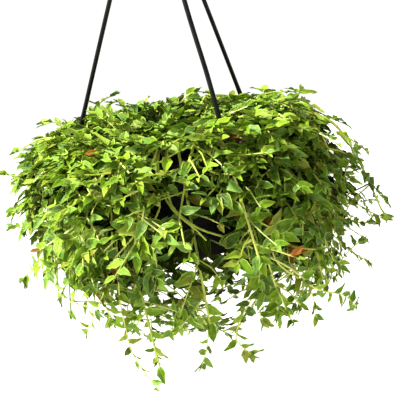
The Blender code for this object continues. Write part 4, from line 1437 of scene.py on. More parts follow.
class Foliage:
    """Collects the leaves and stems of one piece and makes its mesh."""

    def __init__(self):
        self.leaves = {"full": [], "small": []}
        self.points = []
        self.faces = []
        self.slots = []
        self.marks = []
        self.size = 0
        self.share = 1.0
        self.tint = 0.0
        self.thins = True

    def add_leaf(self, root, frame, length, draw, dry=False):
        """Notes a leaf with its axes and the values that give its form and tone."""
        outness = dome_share(root)
        depth = max(0.0, DEPTH_START - outness)
        kind = "small" if length < SMALL_LEAF_LENGTH or depth > SMALL_DEPTH else "full"
        # The tone holds painted shade deep in the dome and just below the rim near the pot, painted light at
        # the dome's surface, and is darker low down
        tone = draw.betavariate(*TONE_CHANCE) + self.tint - DEPTH_SHADE * depth
        tone += SURFACE_LIGHT * min(max(outness - SURFACE_START, 0.0), SURFACE_DEPTH)
        if RIM_Z - OVERHANG_BAND < root.z < RIM_Z:
            tone -= OVERHANG_SHADE * max(0.0, OVERHANG_RADIUS - math.hypot(root.x, root.y))
        tone -= LOW_SHADE * max(0.0, RIM_Z - LOW_BAND - root.z)
        shape = (
            length,
            0.5 * LEAF_WIDTH_SHARE * length * draw.uniform(*WIDTH_CHANCE),
            LEAF_FOLD * draw.uniform(*FOLD_CHANCE),
            LEAF_DROOP * draw.uniform(*DROOP_CHANCE),
            draw.uniform(*TWIST_CHANCE),
            draw.uniform(*BEND_CHANCE),
            draw.uniform(0.0, FULL_TURN),
            tone,
            draw.random(),
            1.0 if dry else 0.0,
        )
        self.leaves[kind].append((root, *frame, shape))

    def add_stem(self, centres, radii, sides, tone):
        """A stem with its marks for the paint: how far along it lies, and how light it is."""
        points, faces = tube(centres, radii, sides)
        self.points.append(np.array([tuple(point) for point in points]))
        self.faces += [tuple(index + self.size for index in face) for face in faces]
        self.slots += [1] * len(faces)
        along = np.repeat(np.linspace(0.0, 1.0, len(centres)), sides)
        marks = np.zeros((len(points), 5))
        marks[:, 1] = along
        # Painted shade: the deeper in the dome a ring lies, the darker the stem is painted there
        depths = [max(0.0, DEPTH_START - dome_share(centre)) for centre in centres]
        marks[:, 2] = STEM_DARKEST + STEM_LIGHTENING * tone - DEPTH_SHADE * np.repeat(depths, sides)
        self.marks.append(marks)
        self.size += len(points)

    def settle(self, kind):
        """Turns the waiting leaves of one kind into points and faces."""
        waiting = self.leaves[kind]
        if not waiting:
            return
        places, faces = TEMPLATES[kind]
        roots, along, across, facing = (
            np.array([tuple(leaf[i]) for leaf in waiting])[:, None, :] for i in range(4)
        )
        values = np.array([leaf[4] for leaf in waiting]).T[:, :, None]
        length, half, fold, droop, twist, bend, phase, tone, chance, dry = values
        share, column, width, under = places.T[:, None, :]
        y = column * width * half
        x = share * length
        x = x - BASE_SETBACK * length * column**2 * np.clip(1.0 - share / BASE_SHARE, 0.0, 1.0)
        z = fold * np.abs(y) - droop * x**2 / length
        z -= CLASP * half * column**2 * width * np.clip(1.0 - share / CLASP_SHARE, 0.0, 1.0)
        z += RIPPLE * half * np.sin(RIPPLES_ALONG * share + phase + RIPPLES_ACROSS * column) * column**2
        z -= under * BLADE_THICKNESS * (BASE_THICKENING - share)
        y = y + bend * x**2 / length
        turned_y = y * np.cos(twist * share) - z * np.sin(twist * share)
        turned_z = y * np.sin(twist * share) + z * np.cos(twist * share)
        points = roots + x[..., None] * along + turned_y[..., None] * across
        points = points + turned_z[..., None] * facing
        marks = np.zeros((*points.shape[:2], 5))
        for index, value in enumerate((column, share, tone, under, chance)):
            marks[..., index] = value
        count = len(places)
        for number, leaf in enumerate(waiting):
            base = self.size + number * count
            self.faces += [tuple(index + base for index in face) for face in faces]
            self.slots += [2 if leaf[4][9] else 0] * len(faces)
        self.points.append(points.reshape(-1, 3))
        self.marks.append(marks.reshape(-1, 5))
        self.size += count * len(waiting)

    def make(self, name, materials):
        """The piece's object, with the marks that its paint reads at each point."""
        for kind in self.leaves:
            self.settle(kind)
        mesh = bpy.data.meshes.new(name)
        mesh.from_pydata(np.concatenate(self.points).tolist(), [], self.faces)
        marks = np.concatenate(self.marks)
        for column, label in enumerate(("across", "along", "tone", "under", "chance")):
            layer = mesh.attributes.new(label, "FLOAT", "POINT")
            layer.data.foreach_set("value", marks[:, column].astype(np.float32))
        for material in materials:
            mesh.materials.append(material)
        mesh.polygons.foreach_set("material_index", self.slots)
        mesh.shade_smooth()
        mesh.set_sharp_from_angle(angle=math.radians(CREASE_ANGLE))
        return add_object(name, mesh)


class Route:
    """A smooth line through points, read by its length."""

    def __init__(self, knots, straight=0):
        self.points = [knot.copy() for knot in knots[: straight + 1]]
        run = knots[straight:]
        for index in range(len(run) - 1):
            before = run[max(index - 1, 0)]
            after = run[min(index + 2, len(run) - 1)]
            start, end = run[index], run[index + 1]
            pull = 0.5 * (end - start).length
            leave = (end - before).normalized() * pull
            arrive = (after - start).normalized() * pull
            steps = max(2, int((end - start).length / STEM_RING))
            for step in range(1, steps + 1):
                t = step / steps
                point = start * (2 * t**3 - 3 * t**2 + 1) + leave * (1.5 * (t**3 - 2 * t**2 + t))
                point += end * (3 * t**2 - 2 * t**3) + arrive * (1.5 * (t**3 - t**2))
                self.points.append(point)
        self.marks = [0.0]
        for a, b in zip(self.points, self.points[1:]):
            self.marks.append(self.marks[-1] + (b - a).length)
        self.length = self.marks[-1]

    def cut(self, distance):
        """Ends the line at a distance along it."""
        end = self.at(distance)[0]
        kept = [point for point, mark in zip(self.points, self.marks) if mark < distance - 0.001]
        self.points = kept + [end]
        self.marks = self.marks[: len(kept)]
        self.marks.append(self.marks[-1] + (end - kept[-1]).length)
        self.length = self.marks[-1]

    def at(self, distance):
        """The point and direction at a distance along the line."""
        distance = min(max(distance, 0.0), self.length)
        for index in range(len(self.points) - 1):
            if distance <= self.marks[index + 1] or index == len(self.points) - 2:
                a, b = self.points[index], self.points[index + 1]
                span = self.marks[index + 1] - self.marks[index]
                return a.lerp(b, (distance - self.marks[index]) / span), (b - a).normalized()

    def nearest(self, point):
        """How far along the line it comes nearest to a point."""
        best = min(range(len(self.points)), key=lambda i: (self.points[i] - point).length)
        found = (1e9, 0.0)
        for index in (best - 1, best):
            if 0 <= index < len(self.points) - 1:
                a, b = self.points[index], self.points[index + 1]
                share = (point - a).dot(b - a) / (b - a).length_squared
                share = min(max(share, 0.0), 1.0)
                gap = (a.lerp(b, share) - point).length
                found = min(found, (gap, self.marks[index] + share * (b - a).length))
        return found[1]


def stem_rings(route, ends, nodes):
    """The centres and radii of a stem that swells a little at each of its nodes. Its radii at both
    ends are given."""
    radius, tip_radius = ends
    marks = set(route.marks)
    for node in nodes:
        near = {mark for mark in marks if abs(mark - node) < 1.2 * NODE_HALF_LENGTH}
        marks -= near - {0.0, route.length}
        marks |= {node - NODE_HALF_LENGTH, node, node + NODE_HALF_LENGTH}
    marks = sorted(mark for mark in marks if 0.0 <= mark <= route.length)
    centres = []
    radii = []
    for mark in marks:
        if centres and mark - last < 1e-4:
            continue
        last = mark
        size = radius + (tip_radius - radius) * mark / route.length
        if any(abs(mark - node) < 1e-6 for node in nodes):
            size *= NODE_SWELLING
        centres.append(route.at(mark)[0])
        radii.append(size)
    return centres, radii


def camera_turn():
    """How the camera stands, with its slight roll."""
    level = (AIM - EYE).to_track_quat("-Z", "Y").to_matrix()
    return Matrix.Rotation(math.radians(ROLL), 3, (AIM - EYE).normalized()) @ level


CAMERA_TURN = camera_turn()


def seen_at(point):
    """The pixel of the photograph at which a point lies."""
    place = CAMERA_TURN.transposed() @ (point - EYE)
    scale = FOCAL_PIXELS / -place.z
    return AIM_PIXEL[0] + place.x * scale, AIM_PIXEL[1] - place.y * scale


def mass_share(point):
    """How far out a point lies in the plant's mass as the photograph shows it: 1 at its edge and
    more beyond. Less stands out at the top than at the sides and below, and nothing leaves the
    solids' box by more than its margin."""
    low, high = PLANT_BOX
    if not (low[0] < point.x < high[0] and low[1] < point.y < high[1] and point.z > low[2]):
        return FAR_OUT
    u, v = seen_at(point)
    right, up = u - MASS_MIDDLE[0], MASS_MIDDLE[1] - v
    turn = math.degrees(math.atan2(up, right)) % 360.0 / MASS_STEP
    first = int(turn) % len(MASS_REACH)
    after = (first + 1) % len(MASS_REACH)
    reach = MASS_REACH[first] + (MASS_REACH[after] - MASS_REACH[first]) * (turn % 1.0)
    share = math.hypot(right, up) / reach
    if up > TOP_SLOPE * abs(right):
        share = 1.0 + TOP_SHARPNESS * (share - 1.0)
    return share


def in_window(point):
    """Whether a point would hide the pot where the picture shows it between the leaves."""
    return point.y < 0.0 and seen_within(point, GAPS)


def seen_within(point, places):
    """Whether a point is seen in one of the ovals, each given by its middle and half sizes."""
    u, v = seen_at(point)
    return any(((u - x) / half_x) ** 2 + ((v - y) / half_y) ** 2 < 1.0 for x, y, half_x, half_y in places)


def front_lines():
    """Where the stems in front run in the picture, without their hidden first part."""
    lines = []
    for *_, places in FRONT_STEMS[:FRONT_COUNT]:
        seen = [seen_at(polar(radius, angle, RIM_Z + height)) for radius, angle, height in places[1:]]
        lines += list(zip(seen, seen[1:]))
    return lines


FRONT_LINES = front_lines()


def seen_on_stem(point):
    """Whether a point would hide one of the stems in front."""
    u, v = seen_at(point)
    for (u0, v0), (u1, v1) in FRONT_LINES:
        along = ((u - u0) * (u1 - u0) + (v - v0) * (v1 - v0)) / ((u1 - u0) ** 2 + (v1 - v0) ** 2)
        along = min(max(along, 0.0), 1.0)
        if math.hypot(u0 + along * (u1 - u0) - u, v0 + along * (v1 - v0) - v) < CLEAR_PIXELS:
            return True
    return False


def in_gap(point):
    """Whether a leaf at a point would hide the pot, the background or a stem where the photograph
    shows them between the leaves."""
    if in_window(point) or point.y < 0.0 and seen_on_stem(point):
        return True
    return point.z < RIM_Z - HANGING_DEPTH and seen_within(point, LIGHT_GAPS)


def hides_pot(route, draw):
    """Whether a stem would cross the pot where it shows, with a small chance that it may."""
    crossed = any(in_window(point) for point in route.points)
    return crossed and draw.random() < GAP_SHARE


ARM_LINES = [arm_centres(name) for name in ARM_ANGLES]


def near_arm(point, margin):
    """Whether a point lies closer to an arm than its half width and a margin."""
    for line in ARM_LINES:
        for a, b in ((line[0], line[4]), (line[4], line[-3]), (line[-3], line[-1])):
            share = min(max((point - a).dot(b - a) / (b - a).length_squared, 0.0), 1.0)
            if (a.lerp(b, share) - point).length < ARM_END_HALF_WIDTH + margin:
                return True
    return False


def in_solid(point, margin):
    """Whether a point lies in the pot's wall or flange, in the soil or in an arm."""
    radius = math.hypot(point.x, point.y)
    below = point.z - RIM_Z
    if radius < POT_TOP_RADIUS and point.z < soil_height(radius) + margin:
        return point.z > RIM_Z - POT_HEIGHT - margin and radius < pot_outer_radius(point.z) + margin
    if -POT_HEIGHT - margin < below < margin:
        wall = pot_outer_radius(point.z)
        if wall - WALL - margin < radius < wall + margin:
            return True
        if below > -LIP_DEPTH - margin and POT_TOP_RADIUS - WALL - margin < radius < RIM_RADIUS + margin:
            return True
    return radius < RIM_RADIUS + ARM_REACH and near_arm(point, margin)


def leaf_blocked(root, frame, length):
    """Whether a leaf's edges or tip would lie in another solid."""
    along, across, facing = frame
    half = 0.5 * LEAF_WIDTH_SHARE * length
    for share, side, width in LEAF_TESTS:
        x = share * length
        y = width * half
        rise = LEAF_FOLD * y - LEAF_DROOP * x * share
        if in_solid(root + along * x + across * (side * y) + facing * rise, LEAF_GAP):
            return True
    return False


def free_directions(point, direction, side, spread, draw):
    """Which way one of the further leaves points and faces: more to the light than the solids' own
    leaves, and with more chance in it. Spread is its angle from the stem in degrees."""
    high = min(max((point.z - RIM_Z) / CROWN_BAND + CROWN_START, 0.0), 1.0)
    upwards = draw.uniform(*UPWARD_CHANCE) + CROWN_UPWARDS * high
    facing = outward(point) * (1.0 - CROWN_FLATTENING * high) + UP * upwards
    facing += chance_vector(draw, FACING_CHANCE)
    facing.normalize()
    if abs(direction.dot(facing)) > MOST_PARALLEL:
        facing = (facing + polar(0.5, draw.uniform(0.0, 360.0), 0.4)).normalized()
    sideways = direction.cross(facing).normalized()
    turn = math.radians(spread + draw.uniform(*SPREAD_CHANCE))
    along = direction * math.cos(turn) + sideways * (side * math.sin(turn))
    along += outward(point) * draw.uniform(*OUTWARD_CHANCE)
    along = (along + chance_vector(draw, ALONG_CHANCE)).normalized()
    return along, Matrix.Rotation(draw.uniform(*ROLL_CHANCE), 3, along) @ facing


def chance_vector(draw, size):
    """A small step in a direction left to chance."""
    return Vector([draw.uniform(-size, size) for _ in range(3)])


def put_leaf(foliage, route, mark, side, spread, length, draw, radius, last=False):
    """One leaf that clasps its stem, if there is room for it. Leaves below the pot are smaller.

    The last leaves of a stem are kept where others are thinned.
    """
    point, direction = route.at(mark)
    if foliage.thins and point.z < RIM_Z - LOW_SIZE_BAND:
        length *= LOW_SIZE
    for _ in range(TURN_TRIES):
        along, facing = free_directions(point, direction, side, spread, draw)
        frame = leaf_frame(along, facing)
        outer = along - direction * along.dot(direction)
        root = point + outer.normalized() * (ROOT_DEPTH * radius)
        reach = mass_share(root + along * length)
        if leaf_blocked(root, frame, length) or reach > foliage.share + LEAF_EXCESS:
            continue
        if foliage.thins and not last and draw.random() < EDGE_THINNING * (reach - EDGE_START):
            return
        kept_open = in_window if last else in_gap
        covered = any(kept_open(root + along * (share * length)) for share in GAP_TESTS)
        if covered and draw.random() < GAP_SHARE:
            return
        dry = point.y < DRY_FRONT and seen_within(root + along * (0.5 * length), DRY_SPOTS)
        foliage.add_leaf(root, frame, length, draw, dry or draw.random() < DRY_SHARE)
        return


def put_rosette(foliage, route, size, draw, radius):
    """The few small leaves that close the end of a stem."""
    turn = draw.choice((-1, 1))
    for back, spread, share in ROSETTE:
        put_leaf(foliage, route, route.length - back, turn, spread, size * share, draw, radius, last=True)
        turn = -turn


def put_leaves(foliage, route, first, spacing, sizes, draw, radius, taken=()):
    """Leaves in turn on both sides of a stem, closer and smaller towards its end."""
    side = draw.choice((-1, 1))
    mark = first
    nodes = []
    while mark < route.length - LAST_ON_STEM:
        share = mark / route.length
        nodes.append(mark)
        if not any(abs(mark - other) < OWN_ROOM * spacing for other in taken):
            size = sizes[0] + (sizes[1] - sizes[0]) * share
            length = LEAF_LENGTH * size * draw.uniform(*SIZE_CHANCE)
            put_leaf(foliage, route, mark, side, LEAF_SPREAD, length, draw, radius)
        side = -side
        mark += spacing * (SPACING_START - SPACING_FALL * share) * draw.uniform(*SPACING_CHANCE)
    return nodes


def route_blocked(route, margin, ground=None):
    """Whether a stem runs into a solid: beyond its first two points, or above a given height."""
    points = route.points[2:]
    if ground is not None:
        points = [point for point in route.points if point.z > ground + HOLE_MOUTH]
    return any(in_solid(point, margin) for point in points)


def keep_inside(route, share):
    """Ends a stem where it leaves the plant's mass. False if less than half of it lies inside."""
    inside = [mark for point, mark in zip(route.points, route.marks) if mass_share(point) < share]
    if not inside or inside[-1] < 0.5 * route.length:
        return False
    route.cut(inside[-1])
    return True


def bent_route(start, way, later, length):
    """A route of two halves, the first along one direction and the second along a later one."""
    middle = start + way * (0.5 * length)
    end = middle + later.normalized() * (0.5 * length)
    return Route([start, start.lerp(middle, 0.5), middle, middle.lerp(end, 0.5), end])


def put_shoot(foliage, route, mark, side, length, draw):
    """A side shoot that leaves its stem sideways, then turns outwards and a little up or down."""
    start, direction = route.at(mark)
    facing = outward(start)
    foliage.tint = draw.uniform(*TINT_CHANCE)
    if start.z > RIM_Z:
        facing = (facing - SHOOT_FLATTENING * facing.z * UP).normalized()
    for _ in range(SHOOT_TRIES):
        sideways = direction.cross(facing).normalized() * side
        way = direction * SHOOT_ALONG + sideways * SHOOT_BESIDE + facing * draw.uniform(*SHOOT_OUTWARDS)
        bend = facing * draw.uniform(*SHOOT_BEND_OUTWARDS) + UP * draw.uniform(*SHOOT_BEND_UPWARDS)
        way = way.normalized()
        shoot = bent_route(start, way, way + bend, length)
        side = -side
        if route_blocked(shoot, SHOOT_GAP) or mass_share(shoot.points[-1]) > foliage.share:
            continue
        if not hides_pot(shoot, draw):
            dress_shoot(foliage, shoot, draw, 1.0 if length < LONG_SHOOT else LONG_SHOOT_SIZE)
        return


def put_under_shoot(foliage, route, mark, draw):
    """A thin shoot that runs from a hanging stem to the space below the pot."""
    start, direction = route.at(mark)
    inwards = Vector((-start.x, -start.y, 0.0)).normalized()
    for _ in range(SHOOT_TRIES):
        turn = Matrix.Rotation(draw.uniform(*UNDER_TURNS), 3, "Z")
        length = draw.uniform(*UNDER_LENGTHS)
        way = turn @ inwards + UP * draw.uniform(*UNDER_UPWARDS) + direction * UNDER_ALONG
        way.normalize()
        shoot = bent_route(start, way, way - UP * draw.uniform(*UNDER_DROOP), length)
        if route_blocked(shoot, SHOOT_GAP) or mass_share(shoot.points[-1]) > foliage.share:
            continue
        if not hides_pot(shoot, draw):
            dress_shoot(foliage, shoot, draw, UNDER_SIZE, UNDER_SPACING)
            return


def put_fringe(foliage, route, mark, draw):
    """A longer, barer sprig that stands out from the plant's surface and droops a little."""
    start, direction = route.at(mark)
    flat = Vector((start.x, start.y, 0.0)).normalized()
    for _ in range(SHOOT_TRIES):
        length = draw.uniform(*FRINGE_LENGTHS)
        turn = Matrix.Rotation(draw.uniform(*FRINGE_TURNS), 3, "Z")
        way = turn @ flat + UP * draw.uniform(*FRINGE_UPWARDS) + direction * FRINGE_ALONG
        way.normalize()
        shoot = bent_route(start, way, way - UP * draw.uniform(*FRINGE_DROOP), length)
        if not route_blocked(shoot, SHOOT_GAP) and mass_share(shoot.points[-1]) < FRINGE_SHARE:
            own_share = foliage.share
            foliage.share = FRINGE_SHARE + FRINGE_LEAF_SHARE
            dress_shoot(foliage, shoot, draw, FRINGE_SIZE, FRINGE_SPACING)
            foliage.share = own_share
            return


def dress_shoot(foliage, shoot, draw, size=1.0, spacing=SHOOT_SPACING, taken=()):
    """The leaves and the thin stem of one side shoot."""
    sizes = [share * size for share in SHOOT_LEAVES]
    nodes = put_leaves(foliage, shoot, FIRST_ON_SHOOT, spacing, sizes, draw, SHOOT_RADIUS, taken)
    foliage.add_stem(*stem_rings(shoot, SHOOT_RADII, nodes), 4, draw.random())
    tip_length = LEAF_LENGTH * size * draw.uniform(*TIP_SIZE_CHANCE)
    put_rosette(foliage, shoot, tip_length, draw, SHOOT_TIP_RADIUS)


def dress_stem(foliage, route, draw, bare, shoots, radii, sizes=STEM_LEAVES, taken=()):
    """Leaves, side shoots and the stem itself along one route, whose first length stays bare."""
    nodes = put_leaves(foliage, route, bare, STEM_SPACING, sizes, draw, radii[0], taken)
    for number in range(shoots):
        share = (number + draw.uniform(*SHOOT_CHANCE)) / shoots
        mark = bare + (route.length - bare) * share * LAST_SHOOT
        put_shoot(foliage, route, mark, draw.choice((-1, 1)), draw.uniform(*SHOOT_LENGTHS), draw)
    if route.points[-1].z < RIM_Z - HANGING_DEPTH:
        for _ in range(UNDER_SHOOTS):
            put_under_shoot(foliage, route, route.length * draw.uniform(*UNDER_PLACES), draw)
    if shoots:
        put_fringe(foliage, route, route.length * draw.uniform(*FRINGE_PLACES), draw)
    foliage.add_stem(*stem_rings(route, radii, nodes), 6, draw.random())
    put_rosette(foliage, route, ROSETTE_SIZE * LEAF_LENGTH, draw, radii[1])


def refine_vine(name, kind, angle, trees):
    """The finer form of one leafy stem of the solids, and more of its leaves and shoots."""
    cad_draw = random.Random(f"{SEED} {name}")
    main, shoots = find_stems(kind, angle, cad_draw, trees)
    growth, grown, leaves = grow_leaves(main, shoots, cad_draw, trees)
    trees.append(tree_of([(growth.points, growth.faces)]))
    draw = random.Random(f"fine {name}")
    foliage = Foliage()
    route = Route(main, straight=1)
    side_routes = [Route([start, start.lerp(end, 0.5), end]) for start, end in grown]
    taken = [[] for _ in range(1 + len(side_routes))]
    for root, frame, length in leaves:
        marks = [(line, line.nearest(root)) for line in [route] + side_routes]
        gaps = [(line.at(mark)[0] - root).length for line, mark in marks]
        best = gaps.index(min(gaps))
        line, mark = marks[best]
        taken[best].append(mark)
        point, direction = line.at(mark)
        outer = root - point
        outer -= direction * outer.dot(direction)
        reach = min(outer.length, LEAF_SEAT)
        start = point + outer.normalized() * reach if outer.length > 1e-6 else point
        foliage.add_leaf(start, frame, length, draw)
    bare = rim_mark(route, kind)
    foliage.share = OWN_SHARE
    dress_stem(foliage, route, draw, bare, SHOOTS[kind], OWN_RADII, taken=taken[0])
    for line, own in zip(side_routes, taken[1:]):
        dress_shoot(foliage, line, draw, taken=own)
    return foliage


def rim_mark(route, kind):
    """How far along a stem its leaves begin: near the rim, or just above the soil."""
    if kind == "crown":
        return HOLE_DEPTH + CROWN_BARE
    for point, mark in zip(route.points, route.marks):
        if math.hypot(point.x, point.y) > RIM_RADIUS - RIM_SETBACK:
            return mark
    return 0.5 * route.length


def companion(foliage, kind, angle, draw, drift):
    """One more stem of a kind beside a stem of the solids, as long as the picture allows."""
    if kind == "trail":
        foliage.share = TRAIL_SHARE[0] + TRAIL_SHARE[1] * draw.random()
    else:
        foliage.share = COMPANION_SHARE[0] + COMPANION_SHARE[1] * draw.random() ** 2
    for _ in range(COMPANION_TRIES):
        knots = stem_points(kind, angle + draw.uniform(*COMPANION_ANGLES), draw)
        for index in range(RIM_KNOT + 1, len(knots)):
            share = (index - RIM_KNOT) / (len(knots) - RIM_KNOT - 1)
            knots[index] = Matrix.Rotation(math.radians(drift) * share, 3, "Z") @ knots[index]
        route = Route(knots, straight=1)
        if route_blocked(route, STEM_GAP, knots[1].z) or hides_pot(route, draw):
            continue
        if keep_inside(route, foliage.share):
            dress_stem(foliage, route, draw, rim_mark(route, kind), SHOOTS[kind], COMPANION_RADII)
            return


def front_stem(foliage, thickness, bare_share, size, places, draw):
    """A stem that the photograph shows in front of the others or standing out of the plant, from
    its hole in the soil to the places that it passes, bare over the first share of its length."""
    radius, angle, height = places[0]
    start = min(radius, FRONT_ROOT_RADIUS)
    knots = [polar(start, angle, soil_height(start) - FRONT_ROOT_DEPTH)]
    if radius > start:
        rise = max(FRONT_LEAST_RISE, height - FRONT_EDGE_RISE)
        knots.append(polar(FRONT_CROSSING, angle, RIM_Z + rise))
        if height < FRONT_LOW:
            knots.append(polar(min(radius, FRONT_EDGE_RADIUS), angle, RIM_Z + FRONT_EDGE_RISE))
    knots += [polar(radius, turn, RIM_Z + height) for radius, turn, height in places]
    route = Route(knots)
    foliage.share = FRONT_SHARE
    foliage.thins = False
    bare = bare_share * route.length
    ends = (thickness, FRONT_TAPER * thickness)
    sizes = (size, FRONT_SIZE_FALL * size)
    nodes = put_leaves(foliage, route, bare, FRONT_SPACING, sizes, draw, thickness)
    joint_count = int(bare / JOINT_SPACING)
    joints = [JOINT_SPACING * number for number in range(FIRST_JOINT, joint_count + 1)]
    foliage.add_stem(*stem_rings(route, ends, joints + nodes), FRONT_SIDES, FRONT_TONE)
    put_rosette(foliage, route, ROSETTE_SIZE * size * LEAF_LENGTH, draw, ends[1])


def turning_knots(places, angle, turn):
    """The points of a stem that turns round the pot as it hangs."""
    return [polar(radius, angle + turn * share, RIM_Z + height) for radius, height, share in places]


def deep_stem(foliage, angle, draw):
    """A leafy stem close to the pot that closes the view between the outer ones."""
    foliage.share = DEEP_SHARE
    turn = draw.uniform(*DEEP_TURNS)
    lowest = draw.uniform(*DEEP_LOWEST)
    ends = [(radius, height * lowest, share) for radius, height, share in DEEP_ENDS]
    route = Route(turning_knots((*DEEP_PLACES, *ends), angle, turn))
    if not route_blocked(route, CLOSE_GAP) and not hides_pot(route, draw):
        bare = DEEP_BARE * route.length
        dress_stem(foliage, route, draw, bare, DEEP_SHOOTS, DEEP_RADII, DEEP_LEAVES)


def inner_stem(foliage, angle, draw):
    """A thin stem that hangs close to the pot and turns in below it."""
    foliage.share = INNER_SHARE
    lowest = draw.uniform(*INNER_LOWEST)
    turn = draw.uniform(*INNER_TURNS)
    end = polar(draw.uniform(*INNER_END_RADII), angle + turn, RIM_Z + lowest)
    route = Route(turning_knots(INNER_PLACES, angle, turn) + [end])
    if route_blocked(route, CLOSE_GAP) or hides_pot(route, draw):
        return
    if keep_inside(route, foliage.share):
        dress_stem(foliage, route, draw, INNER_BARE * route.length, 0, INNER_RADII, INNER_LEAVES)


def crown_sprig(foliage, draw):
    """A short stem out of the soil that helps to close the top of the plant."""
    foliage.share = CROWN_SPRIG_SHARE[0] + CROWN_SPRIG_SHARE[1] * draw.random() ** 2
    for _ in range(SPRIG_TRIES):
        radius = CROWN_SPRIG_RING * draw.uniform(0.0, 1.0) ** CROWN_SPRIG_CROWDING
        angle = draw.uniform(0.0, 360.0)
        root = polar(radius, angle, soil_height(radius))
        reach = radius + draw.uniform(*CROWN_SPRIG_OUT)
        drift = draw.uniform(*CROWN_SPRIG_DRIFT)
        rise = CROWN_SPRIG_SLOPE * cos_deg(angle - HIGH_ANGLE)
        fall = CROWN_SPRIG_FALL * max(0.0, radius - CROWN_SPRIG_FLAT_RADIUS)
        top = RIM_Z + draw.uniform(*CROWN_SPRIG_RISE) + rise - fall
        end = polar(reach, angle + drift * CROWN_SPRIG_TURN, top)
        back, up = CROWN_SPRIG_BEND
        bend = root.lerp(end, 0.5) + UP * up - polar(back, angle, 0.0)
        start = root - CROWN_SPRIG_DEPTH * UP
        route = Route([start, root + HOLE_MOUTH * UP, bend, end], straight=1)
        if not route_blocked(route, STEM_GAP, root.z):
            bare, shoots = CROWN_SPRIG_BARE, CROWN_SPRIG_SHOOTS
            dress_stem(foliage, route, draw, bare, shoots, SPRIG_RADII, SPRIG_LEAVES)
            return


# Materials


class Paint:
    """A new material with its shader, and short ways to add nodes to it."""

    def __init__(self, name, colour, roughness):
        self.material = bpy.data.materials.new(name)
        self.material.use_nodes = True
        self.material.diffuse_color = (*colour, 1.0)
        self.nodes = self.material.node_tree.nodes
        self.link = self.material.node_tree.links.new
        self.shader = self.nodes["Principled BSDF"]
        self.shader.inputs["Base Color"].default_value = (*colour, 1.0)
        self.shader.inputs["Roughness"].default_value = roughness

    def add(self, kind, **values):
        """A new node with these properties."""
        node = self.nodes.new(kind)
        for key, value in values.items():
            setattr(node, key, value)
        return node

    def mark(self, name):
        """One of the values that the mesh carries at each point."""
        return self.add("ShaderNodeAttribute", attribute_name=name).outputs["Fac"]

    def put(self, socket, value):
        """Links a socket or sets its value."""
        if isinstance(value, bpy.types.NodeSocket):
            self.link(value, socket)
        else:
            socket.default_value = value

    def math(self, operation, *values):
        """One sum, product or other function of numbers and sockets."""
        node = self.add("ShaderNodeMath", operation=operation)
        for socket, value in zip(node.inputs, values):
            self.put(socket, value)
        return node.outputs[0]

    def ramp(self, value, stops):
        """The colour that a value has between stops."""
        node = self.add("ShaderNodeValToRGB")
        elements = node.color_ramp.elements
        while len(elements) < len(stops):
            elements.new(0.5)
        for element, (place, colour) in zip(elements, stops):
            element.position = place
            element.color = (*colour, 1.0)
        self.link(value, node.inputs[0])
        return node.outputs[0]

    def smooth(self, value, low, high, to_low=0.0, to_high=1.0):
        """A smooth step from one result to the other as the value goes from low to high."""
        node = self.add("ShaderNodeMapRange", interpolation_type="SMOOTHSTEP")
        for socket, number in zip(node.inputs, (value, low, high, to_low, to_high)):
            self.put(socket, number)
        return node.outputs[0]

    def blend(self, share, first, second, kind="MIX"):
        """A mix of two colours, each a socket or a plain colour."""
        node = self.add("ShaderNodeMix", data_type="RGBA", blend_type=kind)
        self.put(node.inputs[0], share)
        for socket, value in ((node.inputs[6], first), (node.inputs[7], second)):
            self.put(socket, (*value, 1.0) if isinstance(value, tuple) else value)
        return node.outputs[2]

    def noise(self, scale, detail=3.0, roughness=0.5, stretch=None):
        """An uneven pattern in the object's own space, stretched if that is asked for."""
        place = self.add("ShaderNodeTexCoord").outputs["Object"]
        if stretch:
            mapping = self.add("ShaderNodeMapping")
            mapping.inputs["Scale"].default_value = stretch
            self.link(place, mapping.inputs["Vector"])
            place = mapping.outputs["Vector"]
        node = self.add("ShaderNodeTexNoise")
        node.inputs["Scale"].default_value = scale
        node.inputs["Detail"].default_value = detail
        node.inputs["Roughness"].default_value = roughness
        self.link(place, node.inputs["Vector"])
        return node.outputs["Fac"]

    def bump(self, height, distance, strength):
        """Fine relief on the surface."""
        node = self.add("ShaderNodeBump")
        node.inputs["Strength"].default_value = strength
        node.inputs["Distance"].default_value = distance
        self.link(height, node.inputs["Height"])
        self.link(node.outputs["Normal"], self.shader.inputs["Normal"])

    def colour(self, value):
        """The surface's colour, from a socket."""
        self.link(value, self.shader.inputs["Base Color"])


